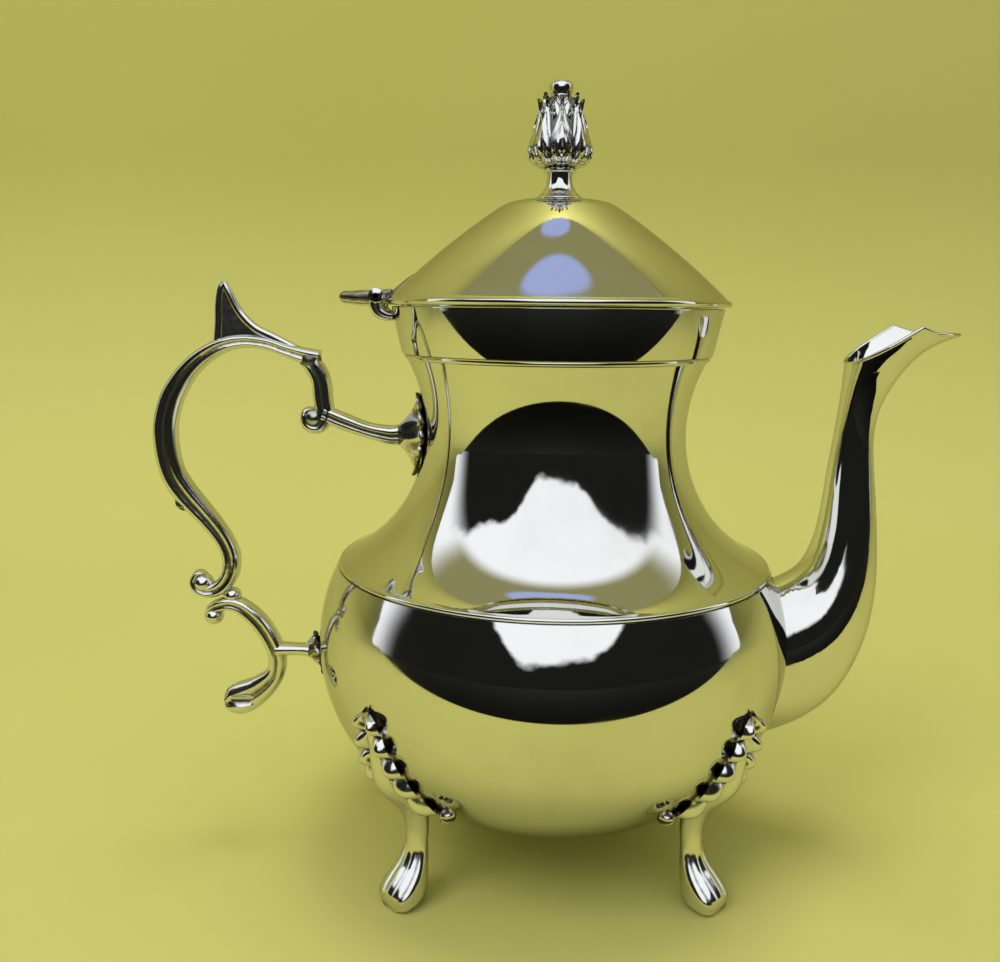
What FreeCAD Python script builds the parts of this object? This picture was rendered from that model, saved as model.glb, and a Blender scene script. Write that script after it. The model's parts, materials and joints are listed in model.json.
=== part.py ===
"""Silver-plated teapot: spun body on four cast feet, gooseneck spout, scroll handle, hinged lid.

Millimetres. +Z is up, +X points to the spout, -X to the handle. The origin is on the axis of
the pot, at the level of the soles.
"""
import FreeCAD, Part
import math
import os
from FreeCAD import Vector

# Sheet metal of the spun shells and the spout
wall = 1.0

# Bowl: two spun halves on one arc, soldered at the waist and polished flush, with a flat base
bowl_radius = 72.3
bowl_waist = 67.0
bowl_arc = 51.5
base_radius = 26.0

# Seam where the neck shell stands on the bowl
seam_height = 91.0
seam_flange = 4.0
lip_thickness = 1.5
lip_setback = 0.3

# Neck: two spun shells on hollow arcs, soldered at the waist
neck_radius = 39.7
neck_waist_rise = 41.0
neck_rise = 62.2
neck_top_radius = 45.0

# Band round the mouth
band_bead = 1.8
band_bead_setback = 0.7
band_foot_step = 1.6
band_flare = 2.8
band_height = 13.6
mouth_setback = 2.0

# Lid
lid_gap = 0.3
lid_overhang = 2.0
lid_brim = 1.9
lid_rise = 30.5
lid_flat_radius = 10.5
lid_crown_arc = 14.0
lid_crown_turn = 34.0
bezel_depth = 6.0
bezel_clearance = 0.6

# Finial, from the lid upwards, and the stud that holds it
pedestal_radius = 7.2
pedestal_waist_radius = 3.7
pedestal_height = 7.9
collar_radius = 4.8
collar_height = 1.4
bud_radius = 9.5
bud_height = 24.7
bud_leaves = 8
stud_radius = 2.0
stud_clearance = 0.1
stud_depth = 8.0
washer_radius = 5.5
washer_thickness = 1.2
nut_radius = 4.0
nut_thickness = 3.2

# Hinge at the handle side of the lid
hinge_offset = 2.0
hinge_rise = 2.5
knuckle_radius = 2.2
pin_radius = 0.9
pin_clearance = 0.05
lid_knuckle_half = 5.6
body_knuckle_width = 3.0
knuckle_gap = 0.3
thumb_length = 12.0
strap_thickness = 1.6
bracket_drop = 4.5

# Spout, and the pierced plate in the bowl behind it
spout_root = 58.0
spout_reach = 51.0
spout_rise = 105.8
spout_half_width = 16.0
spout_root_rise = 24.5
spout_root_fall = 25.5
strainer_drop = 5.5
strainer_hole_radius = 1.6
strainer_pitch = 4.6
strainer_rings = 2
strainer_rim = 1.2

# Handle
lower_leaf_height = 57.0
lower_leaf_length = 17.0
lower_leaf_half_width = 6.0
upper_leaf_drop = 2.2
upper_leaf_length = 24.0
upper_leaf_half_width = 8.5
leaf_thickness = 1.6
leaf_teeth = 5
link_rise = 3.3
upper_boss = 8.0
lower_boss = 5.5
handle_reach = 51.0
handle_rise = 118.0
handle_half_thickness = 3.8
handle_half_width = 3.4
handle_groove = 0.9
scroll_ball = 3.5
link_radius = 1.9

# Feet
foot_turn = 45.0
ankle_setback = 16.5
toe_length = 10.5
plate_thickness = 1.8
plate_top = 61.5
plate_foot = 31.0
plate_half_width = 13.5
lobe_count = 5
lobe_bead = 2.4
volute_radius = 2.7
leg_half = 4.2
ankle_height = 16.0
paw_half_width = 6.2
toe_ball = 2.4


def at(r, z):
    """Point in the XZ plane."""
    return Vector(r, 0, z)


def line(start, end):
    return Part.LineSegment(start, end).toShape()


def arc_about(centre, start, end):
    """The short arc from start to end round a centre."""
    middle = (start - centre) + (end - centre)
    middle.normalize()
    return Part.Arc(start, centre + middle * (start - centre).Length, end).toShape()


def half_round(start, end, bulge):
    """Half circle on the segment from start to end, bulging to the given direction."""
    middle = (start + end) * 0.5
    return Part.Arc(start, middle + bulge * ((end - start).Length / 2), end).toShape()


def polyline(points):
    return [line(points[i], points[i + 1]) for i in range(len(points) - 1)]


def turned(edges):
    """Solid of revolution about Z from a closed outline in the XZ plane."""
    face = Part.Face(Part.Wire(edges))
    return face.revolve(Vector(0, 0, 0), Vector(0, 0, 1), 360)


def prism(points, half_depth):
    """Outline in the XZ plane, extruded by half_depth to both sides of it."""
    face = Part.Face(Part.Wire(polyline(points + points[:1])))
    face.translate(Vector(0, -half_depth, 0))
    return face.extrude(Vector(0, 2 * half_depth, 0))


def closed_curve(points):
    curve = Part.BSplineCurve()
    curve.interpolate(points, PeriodicFlag=True)
    return Part.Wire(curve.toShape())


def skin(rings):
    """Solid with flat ends, smooth round each ring of points and along the rings."""
    count = len(rings[0])
    places = [0.0]
    for i in range(1, len(rings)):
        steps = [(rings[i][k] - rings[i - 1][k]).Length for k in range(count)]
        places.append(places[-1] + sum(steps) / count)
    rows = []
    for k in range(count):
        curve = Part.BSplineCurve()
        curve.interpolate(Points=[ring[k] for ring in rings], Parameters=places)
        rows.append(curve)
    along = rows[0]
    surface = Part.BSplineSurface()
    surface.buildFromPolesMultsKnots(
        [row.getPoles() for row in rows],
        [1] * (count + 1), along.getMultiplicities(),
        list(range(count + 1)), along.getKnots(),
        True, False, 3, along.Degree)
    ends = [Part.Face(Part.Wire(surface.vIso(v).toShape())) for v in (places[0], places[-1])]
    shell = Part.Shell([surface.toShape()] + ends)
    shell.sewShape()
    solid = Part.Solid(shell)
    if solid.Volume < 0:
        solid.reverse()
    return solid


def oval(back, front, half_width, point=0.0, groove=0.0, count=12):
    """Ring across the XZ plane, from back to front: drawn to a point there, grooved at its sides."""
    reach = 3 / (2 + math.cos(2 * math.pi / count))
    middle = (back + front) * 0.5
    along = (front - back) * (0.5 * reach)
    points = []
    for i in range(count):
        turn = 2 * math.pi * i / count
        side = half_width * reach * math.sin(turn) * (1 - point * math.cos(turn))
        if i == count // 4:
            side -= groove
        if i == 3 * count // 4:
            side += groove
        points.append(middle + along * math.cos(turn) + Vector(0, side, 0))
    return points


def rod(stations, half_width, groove=0.0):
    """Cast bar through stations (point, half thickness), with oval sections across its path."""
    sections = []
    for i, (point, half) in enumerate(stations):
        before = stations[max(i - 1, 0)][0]
        after = stations[min(i + 1, len(stations) - 1)][0]
        along = after - before
        across = Vector(-along.z, 0, along.x)
        across.normalize()
        slim = min(1.0, half / 2.0)
        ends = (point - across * half, point + across * half)
        sections.append(oval(ends[0], ends[1], half_width * slim, 0.0, groove * slim))
    return skin(sections)


def ball(centre, radius, pole=Vector(0, 0, 1)):
    return Part.makeSphere(radius, centre, pole)


def joined(solids):
    return solids[0].multiFuse(solids[1:])


# Bowl surface and solids

bowl_centre = at(bowl_radius - bowl_arc, bowl_waist)


def bowl_side(z, grow=0.0):
    """Radius of the bowl at a height."""
    return bowl_centre.x + math.sqrt((bowl_arc + grow) ** 2 - (z - bowl_waist) ** 2)


def bowl_under(r, grow=0.0):
    """Height of the lower half of the bowl at a radius."""
    return bowl_waist - math.sqrt((bowl_arc + grow) ** 2 - (r - bowl_centre.x) ** 2)


base_height = bowl_under(base_radius)
seam_radius = bowl_side(seam_height)
flange_radius = seam_radius - seam_flange


def bowl_solid(grow=0.0):
    """The bowl's outer form, filled, and grown along its surface."""
    foot = at(base_radius, bowl_under(base_radius, grow))
    top = at(bowl_side(seam_height, grow), seam_height)
    edges = [
        line(at(0, foot.z), foot),
        arc_about(bowl_centre, foot, top),
        line(top, at(0, top.z)),
        line(at(0, top.z), at(0, foot.z)),
    ]
    return turned(edges)


def bowl_coat(low, high, thickness):
    """Ring on the bowl between two heights, from just under its surface to a thickness above it."""
    sunk = -wall / 2
    under = [at(bowl_side(z, sunk), z) for z in (low, high)]
    over = [at(bowl_side(z, thickness), z) for z in (low, high)]
    edges = [
        line(under[0], over[0]),
        arc_about(bowl_centre, over[0], over[1]),
        line(over[1], under[1]),
        arc_about(bowl_centre, under[1], under[0]),
    ]
    return turned(edges)


strainer_height = spout_root - strainer_drop
strainer_radius = strainer_rings * strainer_pitch + strainer_hole_radius + strainer_rim


def strainer_drill(y, z, radius):
    """Cylinder through the bowl's wall on the spout's side."""
    reach = 4 * wall + strainer_radius
    start = Vector(bowl_side(strainer_height) - reach, y, z)
    return Part.makeCylinder(radius, 2 * reach, start, Vector(1, 0, 0))


def strainer_holes():
    """Hexagonal pattern of holes."""
    holes = []
    for row in range(-strainer_rings, strainer_rings + 1):
        columns = 2 * strainer_rings + 1 - abs(row)
        for column in range(columns):
            y = (column - (columns - 1) / 2) * strainer_pitch
            z = strainer_height + row * strainer_pitch * math.sqrt(3) / 2
            holes.append(strainer_drill(y, z, strainer_hole_radius))
    return holes


def bowl_arcs(start, end, count):
    """Arc on the bowl's circle in a number of equal pieces, which gives a lighter mesh than one long arc."""
    edges = []
    first = math.atan2(start.z - bowl_centre.z, start.x - bowl_centre.x)
    last = math.atan2(end.z - bowl_centre.z, end.x - bowl_centre.x)
    reach = (start - bowl_centre).Length
    here = start
    for step in range(1, count + 1):
        angle = first + (last - first) * step / count
        there = bowl_centre + at(reach * math.cos(angle), reach * math.sin(angle))
        edges.append(arc_about(bowl_centre, here, there))
        here = there
    return edges


def bowl_lower_wall():
    """Lower half of the bowl, from the flat base to the waist."""
    inner_base = base_height + wall
    foot = at(base_radius, base_height)
    inner_foot = at(bowl_side(inner_base, -wall), inner_base)
    waist = at(bowl_radius, bowl_waist)
    inner_waist = at(bowl_radius - wall, bowl_waist)
    edges = [line(at(0, base_height), foot)]
    edges += bowl_arcs(foot, waist, 3)
    edges.append(line(waist, inner_waist))
    edges += bowl_arcs(inner_waist, inner_foot, 3)
    edges += polyline([inner_foot, at(0, inner_base), at(0, base_height)])
    return turned(edges)


def make_bowl_lower():
    """Lower half of the bowl, with the opening that the strainer plate fills."""
    return bowl_lower_wall().cut(strainer_drill(0, strainer_height, strainer_radius))


def make_strainer_plate():
    """Pierced plate that closes the opening behind the spout, flush with the bowl's wall."""
    disc = bowl_lower_wall().common(strainer_drill(0, strainer_height, strainer_radius))
    return disc.cut(strainer_holes())


def make_bowl_upper():
    """Upper half, from the waist to the flange that carries the neck."""
    under = seam_height - wall
    waist = at(bowl_radius, bowl_waist)
    inner_waist = at(bowl_radius - wall, bowl_waist)
    top = at(seam_radius, seam_height)
    flange_under = at(bowl_side(under, -wall), under)
    edges = [
        arc_about(bowl_centre, waist, top),
        line(top, at(flange_radius, seam_height)),
        line(at(flange_radius, seam_height), at(flange_radius, under)),
        line(at(flange_radius, under), flange_under),
        arc_about(bowl_centre, flange_under, inner_waist),
        line(inner_waist, waist),
    ]
    return turned(edges)


# Neck surface and solids

lip_radius = seam_radius - lip_setback
neck_waist = seam_height + neck_waist_rise
neck_top = seam_height + neck_rise
flare_foot = at(lip_radius - lip_thickness / 2, seam_height + lip_thickness)


def hollow_arc_radius(r, rise):
    """Radius of the arc that is upright at the neck's waist and passes through (r, rise)."""
    return ((r - neck_radius) ** 2 + rise ** 2) / (2 * (r - neck_radius))


flare_arc = hollow_arc_radius(flare_foot.x, neck_waist - flare_foot.z)
upper_arc = hollow_arc_radius(neck_top_radius, neck_top - neck_waist)
flare_centre = at(neck_radius + flare_arc, neck_waist)
upper_centre = at(neck_radius + upper_arc, neck_waist)


def neck_side(z, grow=0.0):
    """Radius of the neck at a height."""
    centre, arc = (flare_centre, flare_arc) if z < neck_waist else (upper_centre, upper_arc)
    return centre.x - math.sqrt((arc - grow) ** 2 - (z - neck_waist) ** 2)


def neck_arcs(low, high, grow):
    """Outline of the neck from a low to a high level, offset from its outer surface."""
    start = at(neck_side(low, grow), low)
    waist = at(neck_radius + grow, neck_waist)
    end = at(neck_side(high, grow), high)
    return start, end, [arc_about(flare_centre, start, waist), arc_about(upper_centre, waist, end)]


def neck_solid(grow=0.0):
    """The neck's outer form, filled, and grown along its surface."""
    start, end, arcs = neck_arcs(flare_foot.z + 2 * lip_thickness, neck_top, grow)
    edges = [line(at(0, start.z), start)] + arcs
    edges += polyline([end, at(0, end.z), at(0, start.z)])
    return turned(edges)


def neck_coat(low, high, thickness):
    """Ring on the neck between two heights, from just under its surface to a thickness above it."""
    under_low, under_high, under_arcs = neck_arcs(low, high, -wall / 2)
    over_low, over_high, over_arcs = neck_arcs(low, high, thickness)
    edges = under_arcs + [line(under_high, over_high)]
    edges += over_arcs[::-1] + [line(over_low, under_low)]
    return turned(edges)


def make_neck_lower():
    """Flare from the rolled lip on the bowl up to the waist."""
    drop = math.sqrt((flare_arc + wall) ** 2 - (flare_centre.x - flange_radius) ** 2)
    inner_start = at(flange_radius, neck_waist - drop)
    inner_waist = at(neck_radius - wall, neck_waist)
    waist = at(neck_radius, neck_waist)
    lip_under = at(flare_foot.x, seam_height)
    edges = [
        line(at(flange_radius, seam_height), lip_under),
        half_round(lip_under, flare_foot, Vector(1, 0, 0)),
        arc_about(flare_centre, flare_foot, waist),
        line(waist, inner_waist),
        arc_about(flare_centre, inner_waist, inner_start),
        line(inner_start, at(flange_radius, seam_height)),
    ]
    return turned(edges)


def make_neck_upper():
    """From the waist up to the band round the mouth."""
    inner_waist = at(neck_radius - wall, neck_waist)
    inner_end = at(neck_side(neck_top, -wall), neck_top)
    waist = at(neck_radius, neck_waist)
    outer_end = at(neck_top_radius, neck_top)
    edges = [
        arc_about(upper_centre, waist, outer_end),
        line(outer_end, inner_end),
        arc_about(upper_centre, inner_end, inner_waist),
        line(inner_waist, waist),
    ]
    return turned(edges)


# Band round the mouth

band_foot = neck_top + band_bead
band_top = band_foot + band_height
band_foot_radius = neck_top_radius + band_foot_step
band_top_radius = band_foot_radius + band_flare
mouth_radius = neck_top_radius - mouth_setback
band_edge = band_top - wall / 2
bead_radius = band_foot_radius - band_bead_setback


def band_side(z):
    """Outer radius of the band's cone at a height."""
    share = (z - band_foot) / (band_edge - band_foot)
    return band_foot_radius + (band_top_radius - band_foot_radius) * share


def band_solid(grow=0.0):
    """The band's outer cone, filled."""
    foot = at(band_foot_radius + grow, band_foot)
    edge = at(band_top_radius + grow, band_edge)
    top = at(band_top_radius + grow, band_top)
    return turned(polyline([at(0, foot.z), foot, edge, top, at(0, top.z), at(0, foot.z)]))


def make_gallery_band():
    under = at(bead_radius - band_bead / 2, neck_top)
    over = at(bead_radius - band_bead / 2, band_foot)
    outer_top = at(band_top_radius, band_edge)
    inner_top = at(band_top_radius - wall, band_edge)
    shelf = band_foot + wall
    inner_foot = at(band_side(shelf) - wall, shelf)
    edges = [line(at(mouth_radius, neck_top), under)]
    edges += [half_round(under, over, Vector(1, 0, 0))]
    edges += polyline([over, at(band_foot_radius, band_foot), outer_top])
    edges += [half_round(outer_top, inner_top, Vector(0, 0, 1))]
    edges += polyline([inner_top, inner_foot, at(mouth_radius, shelf), at(mouth_radius, neck_top)])
    return turned(edges)


# Lid

lid_radius = band_top_radius + lid_overhang
lid_under = band_top + lid_gap
lid_brim_top = lid_under + lid_brim
lid_top = lid_under + lid_rise
bezel_radius = min(band_side(lid_under - bezel_depth), band_top_radius) - wall - bezel_clearance
seat_radius = bezel_radius - 2 * wall


def lid_outline(grow):
    """Outer line of the lid from the flat top to the brim, offset by grow: edges and both ends."""
    turn = math.radians(lid_crown_turn)
    crown_centre = at(lid_flat_radius, lid_top - lid_crown_arc)
    brim = at(lid_radius - lid_brim / 2, lid_brim_top)
    crown_end = crown_centre + at(math.sin(turn), math.cos(turn)) * lid_crown_arc
    chord = brim - crown_end
    fall = math.atan2(-chord.z, chord.x) - turn
    slope_arc = chord.Length / (2 * math.sin(fall))
    slope_centre = crown_end - at(math.sin(turn), math.cos(turn)) * slope_arc
    outward = brim - slope_centre
    outward.normalize()
    start = at(lid_flat_radius, lid_top + grow)
    middle = crown_centre + at(math.sin(turn), math.cos(turn)) * (lid_crown_arc + grow)
    end = slope_centre + outward * (slope_arc + grow)
    return start, end, [arc_about(crown_centre, start, middle), arc_about(slope_centre, middle, end)]


def lid_solid(grow=0.0):
    """The lid's outer form, filled, with its brim."""
    start, end, arcs = lid_outline(grow)
    under = at(end.x, lid_under - grow)
    edges = [line(at(0, start.z), start)] + arcs
    edges += [half_round(end, under, Vector(1, 0, 0))]
    edges += polyline([under, at(0, under.z), at(0, start.z)])
    return turned(edges)


def lid_cavity():
    """The hollow under the lid, inside the ring that seats the bezel."""
    start, end, arcs = lid_outline(-wall)
    below = lid_under - wall
    edges = [line(at(0, start.z), start)] + arcs
    edges += polyline([end, at(end.x, below), at(0, below), at(0, start.z)])
    core = Part.makeCylinder(seat_radius, lid_rise + wall, at(0, below))
    return turned(edges).common(core)


def make_lid_shell():
    hole = Part.makeCylinder(stud_radius + stud_clearance, 4 * wall, at(0, lid_top - 3 * wall))
    return lid_solid().cut(lid_cavity()).cut(hole)


def make_lid_bezel():
    low = lid_under - bezel_depth
    ring = Part.makeCylinder(bezel_radius, bezel_depth, at(0, low))
    return ring.cut(Part.makeCylinder(bezel_radius - wall, bezel_depth, at(0, low)))


# Finial

pedestal_top = lid_top + pedestal_height
collar_top = pedestal_top + collar_height
bud_top = collar_top + bud_height


def make_finial_pedestal():
    rim = lid_top + wall
    bore = stud_radius + stud_clearance
    rise = pedestal_top - wall - rim
    step = pedestal_radius - pedestal_waist_radius
    hollow = (step ** 2 + rise ** 2) / (2 * step)
    centre = at(pedestal_waist_radius + hollow, pedestal_top - wall)
    edges = polyline([at(bore, lid_top), at(pedestal_radius, lid_top), at(pedestal_radius, rim)])
    edges += [arc_about(centre, at(pedestal_radius, rim), at(pedestal_waist_radius, pedestal_top - wall))]
    edges += polyline([
        at(pedestal_waist_radius, pedestal_top - wall),
        at(pedestal_waist_radius, pedestal_top),
        at(bore, pedestal_top),
        at(bore, lid_top),
    ])
    return turned(edges)


def make_finial_collar():
    bore = stud_radius + stud_clearance
    edge = collar_radius - collar_height / 2
    edges = [line(at(bore, pedestal_top), at(edge, pedestal_top))]
    edges += [half_round(at(edge, pedestal_top), at(edge, collar_top), Vector(1, 0, 0))]
    edges += polyline([at(edge, collar_top), at(bore, collar_top), at(bore, pedestal_top)])
    return turned(edges)


def scalloped(radius, z, depth, phase):
    """Ring of the bud: as many lobes as leaves, with valleys of the given depth."""
    points = []
    for i in range(4 * bud_leaves):
        turn = 2 * math.pi * (i / 4 + phase) / bud_leaves
        reach = radius - depth * (1 - math.cos(i * math.pi / 2)) / 2
        points.append(Vector(reach * math.cos(turn), reach * math.sin(turn), z))
    return points


def make_finial_bud():
    lower = [(0.0, 0.40, 0.02), (0.07, 0.72, 0.06), (0.20, 1.0, 0.12), (0.33, 0.92, 0.13),
             (0.46, 0.70, 0.12), (0.55, 0.56, 0.08)]
    upper = [(0.46, 0.48, 0.02), (0.57, 0.64, 0.06), (0.68, 0.70, 0.09), (0.78, 0.52, 0.08),
             (0.85, 0.30, 0.03)]
    tiers = []
    for tier, phase in ((lower, 0.0), (upper, 0.5)):
        sections = []
        for level, girth, depth in tier:
            sections.append(scalloped(bud_radius * girth, collar_top + bud_height * level,
                                      bud_radius * depth, phase))
        tiers.append(skin(sections))
    knob_radius = bud_height * 0.11
    knob = ball(at(0, bud_top - knob_radius), knob_radius)
    hole = Part.makeCylinder(stud_radius, stud_depth, at(0, collar_top))
    return joined(tiers + [knob]).cut(hole)


washer_top = lid_top - wall
washer_under = washer_top - washer_thickness
nut_under = washer_under - nut_thickness


def make_finial_stud():
    foot = nut_under - 2 * stud_radius
    return Part.makeCylinder(stud_radius, collar_top + stud_depth - foot, at(0, foot))


def make_finial_washer():
    disc = Part.makeCylinder(washer_radius, washer_thickness, at(0, washer_under))
    return disc.cut(Part.makeCylinder(stud_radius + stud_clearance, washer_thickness, at(0, washer_under)))


def make_finial_nut():
    corners = []
    for i in range(7):
        turn = math.radians(60 * i)
        corners.append(Vector(nut_radius * math.cos(turn), nut_radius * math.sin(turn), nut_under))
    block = Part.Face(Part.Wire(polyline(corners))).extrude(Vector(0, 0, nut_thickness))
    return block.cut(Part.makeCylinder(stud_radius, nut_thickness, at(0, nut_under)))


# Hinge

hinge_axis = at(-(lid_radius + hinge_offset), lid_under + hinge_rise)
body_knuckle_start = lid_knuckle_half + knuckle_gap
hinge_half = body_knuckle_start + body_knuckle_width


def barrel(low, high, radius):
    """Cylinder on the hinge axis between two places along it."""
    return Part.makeCylinder(radius, high - low, hinge_axis + Vector(0, low, 0), Vector(0, 1, 0))


def make_hinge_pin():
    return barrel(-hinge_half, hinge_half, pin_radius)


def make_hinge_lid_leaf():
    """Thumb leaf, knuckle and the strap that lies on the lid."""
    tip = hinge_axis.x - thumb_length
    top = hinge_axis.z + knuckle_radius
    under = hinge_axis.z - knuckle_radius
    side = prism([
        at(hinge_axis.x, top),
        at(hinge_axis.x - 0.45 * thumb_length, top - 0.1),
        at(hinge_axis.x - 0.80 * thumb_length, top - 0.9),
        at(tip, hinge_axis.z + 0.2),
        at(tip, hinge_axis.z - 0.4),
        at(hinge_axis.x - 0.75 * thumb_length, under + 0.6),
        at(hinge_axis.x - 0.40 * thumb_length, under - 0.5),
        at(hinge_axis.x, under),
    ], lid_knuckle_half)
    strap_end = -(lid_radius - 4 * knuckle_radius)
    root = lid_knuckle_half - 0.6
    leaf = closed_curve([
        Vector(tip, 0, 0),
        Vector(tip + 0.22 * thumb_length, root * 0.62, 0),
        Vector(hinge_axis.x - 0.40 * thumb_length, root, 0),
        Vector(hinge_axis.x, root * 0.85, 0),
        Vector(hinge_axis.x + 2 * knuckle_radius, root * 0.8, 0),
        Vector(strap_end, 0, 0),
        Vector(hinge_axis.x + 2 * knuckle_radius, -root * 0.8, 0),
        Vector(hinge_axis.x, -root * 0.85, 0),
        Vector(hinge_axis.x - 0.40 * thumb_length, -root, 0),
        Vector(tip + 0.22 * thumb_length, -root * 0.62, 0),
    ])
    plan = Part.Face(leaf)
    plan.translate(Vector(0, 0, under - thumb_length))
    plan = plan.extrude(Vector(0, 0, 3 * thumb_length))
    inside = lid_under + lid_brim / 3
    web = prism([
        at(hinge_axis.x, top),
        at(strap_end + knuckle_radius, top + 4 * knuckle_radius),
        at(strap_end + knuckle_radius, inside),
        at(-(lid_radius - lid_brim), inside),
        at(hinge_axis.x, under),
    ], lid_knuckle_half)
    strap = web.common(lid_solid(strap_thickness)).common(plan)
    thumb = side.common(plan)
    knuckle = barrel(-lid_knuckle_half, lid_knuckle_half, knuckle_radius)
    bore = barrel(-lid_knuckle_half, lid_knuckle_half, pin_radius + pin_clearance)
    return joined([knuckle, thumb, strap]).cut(lid_solid()).cut(bore)


def make_hinge_body_leaf():
    """Plate on the band with two arms that carry the outer knuckles."""
    foot = band_top - bracket_drop
    shelf = band_top - knuckle_gap
    inner = -(lid_radius + knuckle_gap)
    outer = hinge_axis.x - knuckle_radius
    arm_outline = [
        at(outer, hinge_axis.z),
        at(outer + 0.3, shelf - knuckle_radius),
        at(-band_side(foot) - leaf_thickness, foot),
        at(-band_side(foot) + knuckle_radius, foot),
        at(-band_side(shelf) + knuckle_radius, shelf),
        at(inner, shelf),
        at(inner, hinge_axis.z),
    ]
    pieces = []
    for side in (-1, 1):
        arm = prism(arm_outline, body_knuckle_width / 2)
        arm.translate(Vector(0, side * (body_knuckle_start + body_knuckle_width / 2), 0))
        low = body_knuckle_start if side > 0 else -hinge_half
        pieces += [arm, barrel(low, low + body_knuckle_width, knuckle_radius)]
    plate_top_level = shelf - 2 * knuckle_gap - knuckle_radius / 2
    plate = Part.makeBox(
        band_top_radius, 2 * hinge_half, plate_top_level - foot,
        Vector(-band_top_radius - leaf_thickness, -hinge_half, foot))
    pieces.append(plate.common(band_solid(leaf_thickness)))
    return joined(pieces).cut(band_solid()).cut(barrel(-hinge_half, hinge_half, pin_radius))


# Spout

def spout_place(out, up):
    """Point from the bowl's side and the height of the spout's root, in shares of reach and rise."""
    return at(bowl_radius + spout_reach * out, spout_root + spout_rise * up)


def spout_stations():
    """Back, front, share of the half width, draw and front wall share of each section."""
    sunk = 4 * wall
    high = spout_root + spout_root_rise
    low = spout_root - spout_root_fall
    return [
        (at(bowl_side(high) - sunk, high), at(bowl_side(low) - sunk, low), 1.0, 0.0, 1.0),
        (spout_place(0.004, 0.265), spout_place(0.043, -0.198), 1.000, 0.0, 1.0),
        (spout_place(0.098, 0.293), spout_place(0.308, -0.113), 0.963, 0.0, 1.0),
        (spout_place(0.161, 0.336), spout_place(0.480, 0.024), 0.875, 0.0, 1.0),
        (spout_place(0.200, 0.397), spout_place(0.561, 0.180), 0.738, 0.0, 1.0),
        (spout_place(0.225, 0.482), spout_place(0.563, 0.369), 0.588, 0.0, 1.0),
        (spout_place(0.247, 0.599), spout_place(0.522, 0.562), 0.450, 0.0, 1.0),
        (spout_place(0.282, 0.743), spout_place(0.508, 0.737), 0.388, 0.0, 1.0),
        (spout_place(0.300, 0.832), spout_place(0.588, 0.836), 0.463, 0.05, 1.1),
        (spout_place(0.312, 0.912), spout_place(0.759, 0.932), 0.630, 0.2, 1.5),
        (spout_place(0.318, 0.974), spout_place(0.902, 0.966), 0.690, 0.35, 2.0),
        (spout_place(0.324, 1.078), spout_place(1.118, 0.994), 0.720, 0.5, 2.2),
    ]


def spout_form(inset):
    sections = []
    for back, front, width_share, point, share in spout_stations():
        along = front - back
        along.normalize()
        half_width = spout_half_width * width_share - inset
        inner_front = front - along * (inset * share)
        sections.append(oval(back + along * inset, inner_front, half_width, point))
    return skin(sections)


def mouth_cut():
    """What the slanting rim and the drawn lip leave above them."""
    rim_back = spout_place(0.312, 0.894)
    shoulder = spout_place(0.655, 1.0)
    notch = spout_place(0.757, 0.983)
    lip = spout_place(1.176, 0.975)
    behind = rim_back - (shoulder - rim_back) * 0.6
    over = spout_root + 1.25 * spout_rise
    outline = [behind, shoulder, notch, lip, at(lip.x, over), at(behind.x, over)]
    return prism(outline, 2 * spout_half_width)


def make_spout():
    tube = spout_form(0.0).cut(spout_form(wall))
    return tube.cut(bowl_solid()).cut(mouth_cut())


# Handle

upper_leaf_height = neck_waist - upper_leaf_drop
upper_boss_end = neck_side(upper_leaf_height) + upper_boss
lower_boss_end = bowl_side(lower_leaf_height) + lower_boss
link_height = lower_leaf_height + link_rise


def leaf_prism(height, length, half_width, near, far):
    """Toothed leaf outline in the YZ plane, extruded on the handle side between two distances."""
    side = []
    for i in range(1, 2 * leaf_teeth):
        share = i / (2 * leaf_teeth)
        tooth = 1.0 if i % 2 else 0.8
        width = half_width * tooth * math.sin(math.pi * share) ** 0.6
        side.append(Vector(-near, width, height + length * (0.5 - share)))
    mirrored = [Vector(p.x, -p.y, p.z) for p in reversed(side)]
    top = Vector(-near, 0, height + length / 2)
    foot = Vector(-near, 0, height - length / 2)
    outline = [top] + side + [foot] + mirrored + [top]
    return Part.Face(Part.Wire(polyline(outline))).extrude(Vector(near - far, 0, 0))


def boss(foot, end, height, half_height, half_width):
    """Tapered boss from a leaf out to the end of the handle."""
    wide = [at(-foot, height - half_height), at(-foot, height + half_height)]
    slim = [at(-end, height - half_height * 0.55), at(-end, height + half_height * 0.55)]
    return skin([oval(wide[0], wide[1], half_width), oval(slim[0], slim[1], half_width * 0.6)])


def make_handle_upper_leaf():
    half = upper_leaf_length / 2 + wall
    side = neck_side(upper_leaf_height)
    leaf = leaf_prism(upper_leaf_height, upper_leaf_length, upper_leaf_half_width, side / 2, 2 * side)
    plate = leaf.common(neck_coat(upper_leaf_height - half, upper_leaf_height + half, leaf_thickness))
    stem = boss(side - wall, upper_boss_end, upper_leaf_height, upper_leaf_length / 4,
                upper_leaf_half_width * 0.6)
    return joined([plate, stem]).cut(neck_solid())


def make_handle_lower_leaf():
    half = lower_leaf_length / 2 + wall
    side = bowl_side(lower_leaf_height)
    leaf = leaf_prism(lower_leaf_height, lower_leaf_length, lower_leaf_half_width, side / 2, 2 * side)
    plate = leaf.common(bowl_coat(lower_leaf_height - half, lower_leaf_height + half, leaf_thickness))
    stem = boss(side - 2 * wall, lower_boss_end, link_height, lower_leaf_length / 4,
                lower_leaf_half_width * 0.6)
    return joined([plate, stem]).cut(bowl_solid())


def handle_place(out, up):
    """Point from the bowl's side and the height of the lower leaf, in shares of reach and rise."""
    return at(-(bowl_radius + handle_reach * out), lower_leaf_height + handle_rise * up)


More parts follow.
